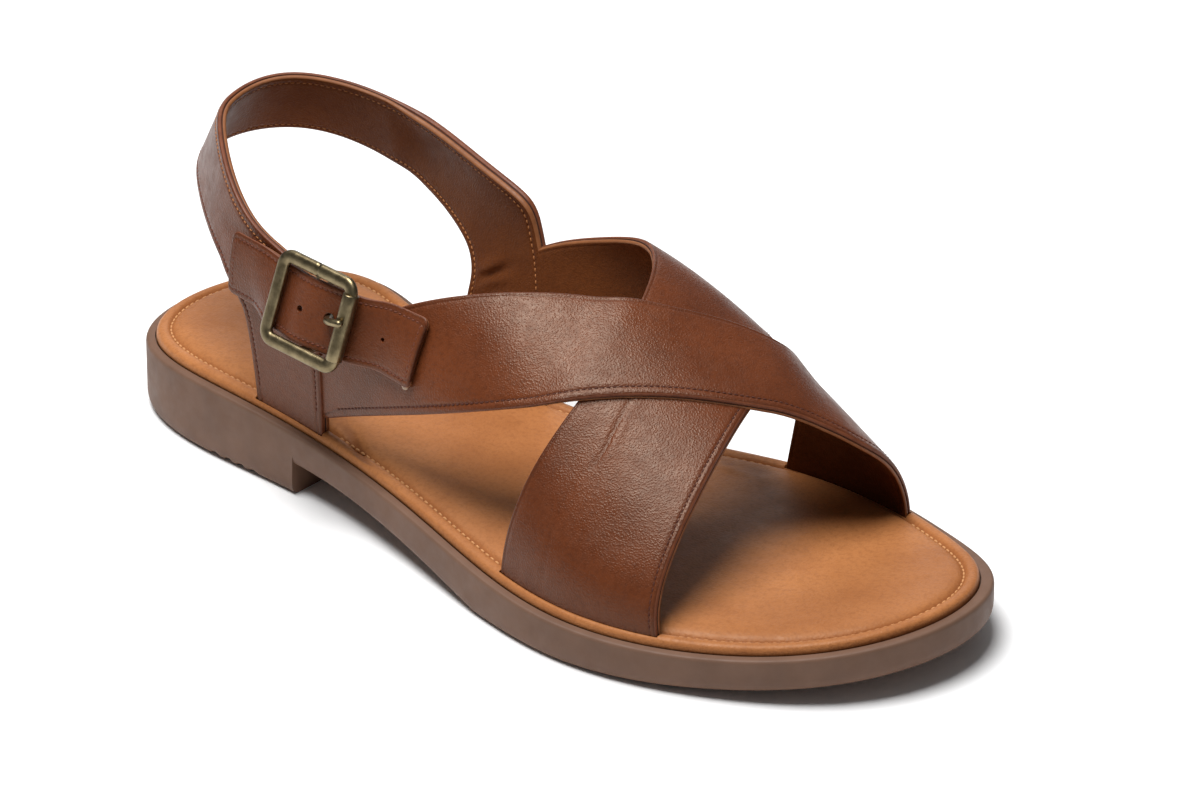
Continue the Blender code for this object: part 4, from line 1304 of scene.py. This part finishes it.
def make_billet():
    body = np.linspace(BILLET_CORNER, BILLET_LENGTH - BILLET_CORNER, BILLET_ROWS)
    place = np.concatenate([END_ROWS, body, BILLET_LENGTH - END_ROWS[::-1]])
    from_end = np.minimum(place, BILLET_LENGTH - place)
    width = BILLET_WIDTH - 2.0 * corner_trim(from_end)
    rows = edge_columns(BILLET_STITCH, BILLET_SINK)
    across, levels, reach, zones = section(width, width, rows, rows, BILLET_COLUMNS)
    along = np.repeat((place / BILLET_LENGTH)[:, None], across.shape[1], axis=1)
    crease = crease_height(billet, BILLET_CREASES, along, across)
    pinch = np.interp(from_end, END_ROWS[:len(END_PINCH)], END_PINCH)
    depth = (0.5 + (levels[None, :] - 0.5) * pinch[:, None]) * BILLET_THICKNESS + crease
    loops = billet.at(along, across, depth)
    faces, zones = loft(loops, zones)
    edge = np.exp(-np.minimum(reach[None, :], from_end[:, None]) / SMALL_BURNISH)
    # Painted shade in the billet's stitch channels
    marks = {"edge": edge, "crease": np.repeat(painted_channel_shade(levels, reach)[None, :], len(place), axis=0)}
    mesh = mesh_from("billet", loops.reshape(-1, 3), faces, zones, marks, STRAP_FINISHES)
    piece = add_piece(mesh, "billet_leather", "buckle_strap")
    turns = circle(PUNCH_SIDES)
    punches = []
    for spot, side, radius in BILLET_HOLES + ((PRONG_HOLE, PRONG_SIDE, BILLET_SLOT_RADIUS),):
        ring = np.stack([spot + radius * np.cos(turns), side + radius * np.sin(turns)], -1)
        punches.append(prism("punch", ring, -2.0 * FRAME_BACK, 2.0 * FRAME_BACK))
    cut(piece, punches)


def billet_run():
    """Stitch row a little inside the billet's long edges and both ends."""
    half = BILLET_WIDTH / 2.0 - BILLET_STITCH
    start, stop = BILLET_PATH[0][0] + BILLET_STITCH, BILLET_PATH[-1][0] - BILLET_STITCH
    corners = np.array([(start, -half), (stop, -half), (stop, half), (start, half), (start, -half)])
    runs = []
    for a, b in zip(corners[:-1], corners[1:]):
        flat = a + (b - a) * np.linspace(0.0, 1.0, BILLET_RUN_POINTS)[:, None]
        along = (flat[:, 0] - BILLET_PATH[0][0]) / BILLET_LENGTH
        across = flat[:, 1] / BILLET_WIDTH + 0.5
        rise = crease_height(billet, BILLET_CREASES, along, across)
        low = billet.at(along, across, rise)
        top = billet.at(along, across, rise + BILLET_THICKNESS)
        outward = unit(top - low)
        runs.append((top - outward * THREAD_SINK, outward))
    return runs


# Where the tab's upper leg ends at its fold, as a share of the leg, then rows of the leg and of the fold
LEG_END = 0.12
LEG_ROWS = 20
FOLD_ROWS = 25
TAB_COLUMNS = 14


def make_tab():
    """Leather tab on the outer post, folded round the buckle's centre bar."""
    fold = PIN_RADIUS + GAP
    turns = np.radians(np.linspace(90.0, -90.0, FOLD_ROWS))
    path = [(-TAB_LEG * share, PIN_DEPTH + fold) for share in np.linspace(1.0, LEG_END, LEG_ROWS)]
    path += [(fold * math.cos(a), PIN_DEPTH + fold * math.sin(a)) for a in turns]
    path.append((-fold, PIN_DEPTH - fold))
    path = np.array(path)
    ahead = np.gradient(path, axis=0)
    outward = unit(np.stack([-ahead[:, 1], ahead[:, 0]], -1))
    hold = smoothstep((-path[:, 0] - TAB_FREE) / (TAB_LEG - TAB_FREE))
    width = np.full(len(path), TAB_WIDTH)
    across, levels, reach, zones = section(width, width, ROLLED_EDGE, ROLLED_EDGE, TAB_COLUMNS)
    line = path[:, None, :] + outward[:, None, :] * (levels * TAB_THICKNESS)[None, :, None]
    line[..., 1] += hold[:, None] * (TAB_SEAT - PIN_DEPTH - fold)
    flat = np.stack([line[..., 0], (across - 0.5) * TAB_WIDTH], -1)
    loops = drape(flat, line[..., 1], np.repeat(hold[:, None], across.shape[1], axis=1))
    faces, zones = loft(loops, zones)
    edge = np.repeat(np.exp(-reach / SMALL_BURNISH)[None, :], len(path), axis=0)
    marks = {"edge": edge, "crease": np.zeros_like(edge)}
    mesh = mesh_from("tab", loops.reshape(-1, 3), faces, zones, marks, STRAP_FINISHES)
    piece = add_piece(mesh, "tab_leather", "buckle_tab")
    half, far = TAB_SLOT / 2.0, 3.0 * fold
    corners = np.array([(-far, -half), (far, -half), (far, half), (-far, half)])
    cut(piece, [prism("tab_slot", corners, PIN_DEPTH - far, PIN_DEPTH + far)])


MIDDLE_DEPTH = FRAME_BACK + FRAME_THICKNESS / 2.0
FRONT_BAR = (FRAME_LENGTH - FRAME_BAR) / 2.0
BAR_SQUARENESS = 2.3
BAR_SIDES = 32
BAR_RINGS = 5
TOP_STEPS = 6
LEFT_STEPS = 9
BOTTOM_STEPS = 11
CORNER_STEPS = 13
# Places along the top bar by the joint in the frame, and the bar's size in the joint
JOINT_PLACES = (0.30, 0.16, -0.16, -0.30)
JOINT_SIZE = 0.9
JOINT_CLEAR = 1.0
# Columns: place along the front bar, share of the full bar's form (it is thin inside the roller)
FRONT_STEPS = ((-7.9, 1.0), (-7.6, 0.0), (-4.0, 0.0), (0.0, 0.0), (4.0, 0.0), (7.6, 0.0), (7.9, 1.0))


def frame_stations():
    """Stations round the frame: place in its plane, outward direction, size of the bar, squareness."""
    half_length, half_height = FRONT_BAR, (FRAME_HEIGHT - FRAME_BAR) / 2.0
    radius = FRAME_CORNER - FRAME_BAR / 2.0
    reach, side = half_length - radius, half_height - radius
    thin = FRONT_BAR_RADIUS / (FRAME_BAR / 2.0)
    rows = []
    for y, share in ((-side, 1.0),) + FRONT_STEPS:
        rows.append(((half_length, y), (1.0, 0.0), thin + (1.0 - thin) * share, share))
    half_top = np.linspace(reach, JOINT_CLEAR, TOP_STEPS)[1:]
    top = [*half_top, *JOINT_PLACES, *-half_top[::-1]]
    sizes = [JOINT_SIZE if spot in JOINT_PLACES[1:3] else 1.0 for spot in top]
    left = np.linspace(side, -side, LEFT_STEPS)[1:-1]
    bottom = np.linspace(-reach, reach, BOTTOM_STEPS)[1:-1]
    straights = (
        [((spot, half_height), (0.0, 1.0), size, 1.0) for spot, size in zip(top, sizes)],
        [((-half_length, spot), (-1.0, 0.0), 1.0, 1.0) for spot in left],
        [((spot, -half_height), (0.0, -1.0), 1.0, 1.0) for spot in bottom],
        [],
    )
    corners = ((reach, side, 0.0), (-reach, side, 90.0), (-reach, -side, 180.0), (reach, -side, 270.0))
    for (x, y, start), straight in zip(corners, straights):
        for angle in np.radians(start + np.linspace(0.0, 90.0, CORNER_STEPS)):
            way = (math.cos(angle), math.sin(angle))
            rows.append(((x + radius * way[0], y + radius * way[1]), way, 1.0, 1.0))
        rows += straight
    return rows[:-1]


def straight_bar(start, stop, radius):
    """Round bar between two points on the buckle's axes."""
    path = AXES.place(np.linspace(start, stop, BAR_RINGS))
    return loft_mesh("bar", tube_rings(path, [radius] * len(path)), materials=(BRASS,))


def make_frame():
    turns = circle(BAR_SIDES)
    loops = []
    for (x, y), way, size, share in frame_stations():
        power = 2.0 / (2.0 + (BAR_SQUARENESS - 2.0) * share)
        wide = FRAME_BAR / 2.0 * size * signed_power(np.cos(turns), power)
        thick = FRAME_THICKNESS / 2.0 * size if share else FRONT_BAR_RADIUS
        deep = MIDDLE_DEPTH + thick * signed_power(np.sin(turns), power)
        loops.append(AXES.place(np.column_stack([x + wide * way[0], y + wide * way[1], deep])))
    mesh = loft_mesh("frame_ring", np.stack(loops), closed=True, materials=(BRASS,))
    piece = add_piece(mesh, "frame_brass", "buckle_frame")
    bars = [straight_bar((0.0, LOWER_LUG, PIN_DEPTH), (0.0, UPPER_LUG, PIN_DEPTH), PIN_RADIUS)]
    for y in (UPPER_LUG, LOWER_LUG):
        bars.append(straight_bar((0.0, y, PIN_DEPTH - LUG_RADIUS), (0.0, y, MIDDLE_DEPTH), LUG_RADIUS))
    cut(piece, bars, "UNION", "MANIFOLD")


ROLLER_EASE = 0.3
ROLLER_ROUND = 0.1
ROLLER_SIDES = 48
ROLLER_STEPS = 9


def make_roller():
    """Sleeve with eased ends on the frame's front bar."""
    half, bore = ROLLER_LENGTH / 2.0, FRONT_BAR_RADIUS + GAP
    eased, rounded = ROLLER_RADIUS - ROLLER_EASE, ROLLER_RADIUS - ROLLER_ROUND
    form = [(ROLLER_RADIUS, y) for y in np.linspace(half - ROLLER_EASE, ROLLER_EASE - half, ROLLER_STEPS)]
    form += [(rounded, ROLLER_ROUND - half), (eased, -half), (bore, -half)]
    form += [(bore, half), (eased, half), (rounded, half - ROLLER_ROUND)]
    loops = []
    for turn in circle(ROLLER_SIDES):
        ahead, out = math.cos(turn), math.sin(turn)
        loops.append(AXES.place([(FRONT_BAR + r * ahead, y, MIDDLE_DEPTH + r * out) for r, y in form]))
    mesh = loft_mesh("roller_sleeve", np.stack(loops), closed=True, materials=(BRASS,))
    add_piece(mesh, "roller_brass", "buckle_roller")


# Rings near the prong's two ends by their distance from them, rings between, and the least of the end's form
HOOK_RINGS = np.array([0.0, 0.15, 0.4])
TIP_RINGS = np.array([0.55, 0.25, 0.1, 0.0])
PRONG_RINGS = 60
PRONG_MARGIN = 0.9
PRONG_BLUNT = 0.08
HOOK_POINTS = 9


def make_prong():
    """Pin hooked round the centre bar, through the billet's hole and over the roller, with round ends."""
    hook = PIN_RADIUS + GAP + PRONG_RADIUS
    turns = np.radians(np.linspace(HOOK_START, HOOK_STOP, HOOK_POINTS))
    through = float(spline(BILLET_PATH, PRONG_HOLE)[0]) + BILLET_THICKNESS / 2.0
    rest = MIDDLE_DEPTH + ROLLER_RADIUS + GAP + PRONG_RADIUS
    side = [(hook * math.cos(a), PIN_DEPTH + hook * math.sin(a)) for a in turns]
    side += [(PRONG_HOLE - PRONG_RUN, through - PRONG_RISE), (PRONG_HOLE + PRONG_RUN, through + PRONG_RISE)]
    side += [(FRONT_BAR - ROLLER_RADIUS, rest - PRONG_DIP), (FRONT_BAR + PRONG_OVERHANG, rest)]
    along, depth = np.array(side).T
    path = np.stack([along, PRONG_SIDE + PRONG_TURN * np.maximum(along - PRONG_HOLE, 0.0), depth], -1)
    travel = travelled(path)
    body = np.linspace(PRONG_MARGIN, travel[-1] - PRONG_MARGIN, PRONG_RINGS)
    steps = np.concatenate([HOOK_RINGS, body, travel[-1] - TIP_RINGS])
    smooth = spline(np.column_stack([travel, path]), steps)
    from_end = np.minimum(steps, travel[-1] - steps)
    inside = 1.0 - np.clip(from_end / PRONG_RADIUS, PRONG_BLUNT, 1.0)
    radii = PRONG_RADIUS * np.sqrt(1.0 - inside ** 2)
    rings = tube_rings(AXES.place(smooth), radii, start_side=tuple(AXES.across))
    add_piece(loft_mesh("prong_pin", rings, materials=(BRASS,)), "prong_brass", "buckle_prong")


# Rivet: place along and across the over strap, how far it is sunk, and its form as heights and radii
RIVET_PLACE = (np.array([0.118]), np.array([0.66]))
RIVET_SINK = 0.3
RIVET_SIDES = 24
RIVET_FORM = ((0.0, 0.9), (0.3, 1.0), (0.5, 1.0), (0.7, 0.9), (0.85, 0.65), (0.9, 0.35), (0.88, 0.08))


def make_rivet():
    """Small rivet head on the over strap, just past the billet's tip."""
    foot = np.array([over.thickness - RIVET_SINK])
    low = over.at(*RIVET_PLACE, foot)[0]
    out = unit(over.at(*RIVET_PLACE, foot + 1.0)[0] - low)
    rings = tube_rings([low + out * up for up, _ in RIVET_FORM], [r for _, r in RIVET_FORM], RIVET_SIDES)
    add_piece(loft_mesh("rivet", rings, materials=(RIVET,)), "prong_brass")


make_billet()
add_piece(stitch_mesh("billet_stitches", billet_run(), RED_THREAD, *BILLET_THREAD), "billet_leather")
make_tab()
make_frame()
make_roller()
make_prong()
make_rivet()

# Stage
FLOOR_REACH = 6.0
FLOOR_DROP = 0.0002
FLOOR_COLOUR = (0.95, 0.95, 0.95, 1.0)
FLOOR_ROUGHNESS = 0.9
WORLD_COLOUR = (0.94, 0.97, 1.0, 1.0)
WORLD_STRENGTH = 0.13
LIGHT_TARGET = Vector((0.0, 0.0, 0.03))
shape = bmesh.new()
bmesh.ops.create_grid(shape, x_segments=2, y_segments=2, size=FLOOR_REACH)
floor_mesh = bpy.data.meshes.new("floor")
shape.to_mesh(floor_mesh)
shape.free()
floor = link_object("floor", floor_mesh)
floor.location = (0.0, 0.0, -FLOOR_DROP)
floor_finish, floor_bsdf = shader("pale_floor")
floor_bsdf.inputs["Base Color"].default_value = FLOOR_COLOUR
floor_bsdf.inputs["Roughness"].default_value = FLOOR_ROUGHNESS
floor_mesh.materials.append(floor_finish)

world = bpy.data.worlds.new("studio")
bpy.context.scene.world = world
world.use_nodes = True
backdrop = world.node_tree.nodes["Background"]
backdrop.inputs["Color"].default_value = WORLD_COLOUR
backdrop.inputs["Strength"].default_value = WORLD_STRENGTH


def area_light(name, place, size, power):
    lamp = bpy.data.lights.new(name, "AREA")
    lamp.shape = "DISK"
    lamp.size = size
    lamp.energy = power
    made = link_object(name, lamp)
    made.location = place
    made.rotation_euler = (LIGHT_TARGET - Vector(place)).to_track_quat("-Z", "Y").to_euler()


# Lights: place, width and power
area_light("softbox", (-0.2, -0.2, 1.5), 1.0, 34.5)
area_light("backdrop_glow", (-0.94, 1.07, 0.75), 1.2, 3.2)

# Camera at the photograph's viewing angle, drawn in to the one shoe. The aim is in pixels from the middle
AZIMUTH = math.radians(41.09)
ELEVATION = math.radians(27.44)
FOCAL_PIXELS = 5190.5
FRAME_WIDTH = 1200.0
DRAWN_IN = 1.4
AIM = (-59.0, -57.0)
CAMERA_PLACE = (1.0766, -1.1812, 0.8854)
right = np.array([math.cos(AZIMUTH), math.sin(AZIMUTH), 0.0])
level_back = np.array([math.sin(AZIMUTH), -math.cos(AZIMUTH), 0.0])
behind = level_back * math.cos(ELEVATION) + np.array([0.0, 0.0, math.sin(ELEVATION)])
upward = np.cross(behind, right)
look = right * AIM[0] / FOCAL_PIXELS + upward * AIM[1] / FOCAL_PIXELS - behind
lens = bpy.data.cameras.new("camera")
lens.sensor_width = 36.0
lens.lens = FOCAL_PIXELS * DRAWN_IN / FRAME_WIDTH * lens.sensor_width
lens.clip_end = 50.0
camera = link_object("camera", lens)
camera.location = CAMERA_PLACE
camera.rotation_euler = Vector(look).to_track_quat("-Z", "Y").to_euler()
bpy.context.scene.camera = camera
bpy.context.scene.view_settings.view_transform = "Standard"
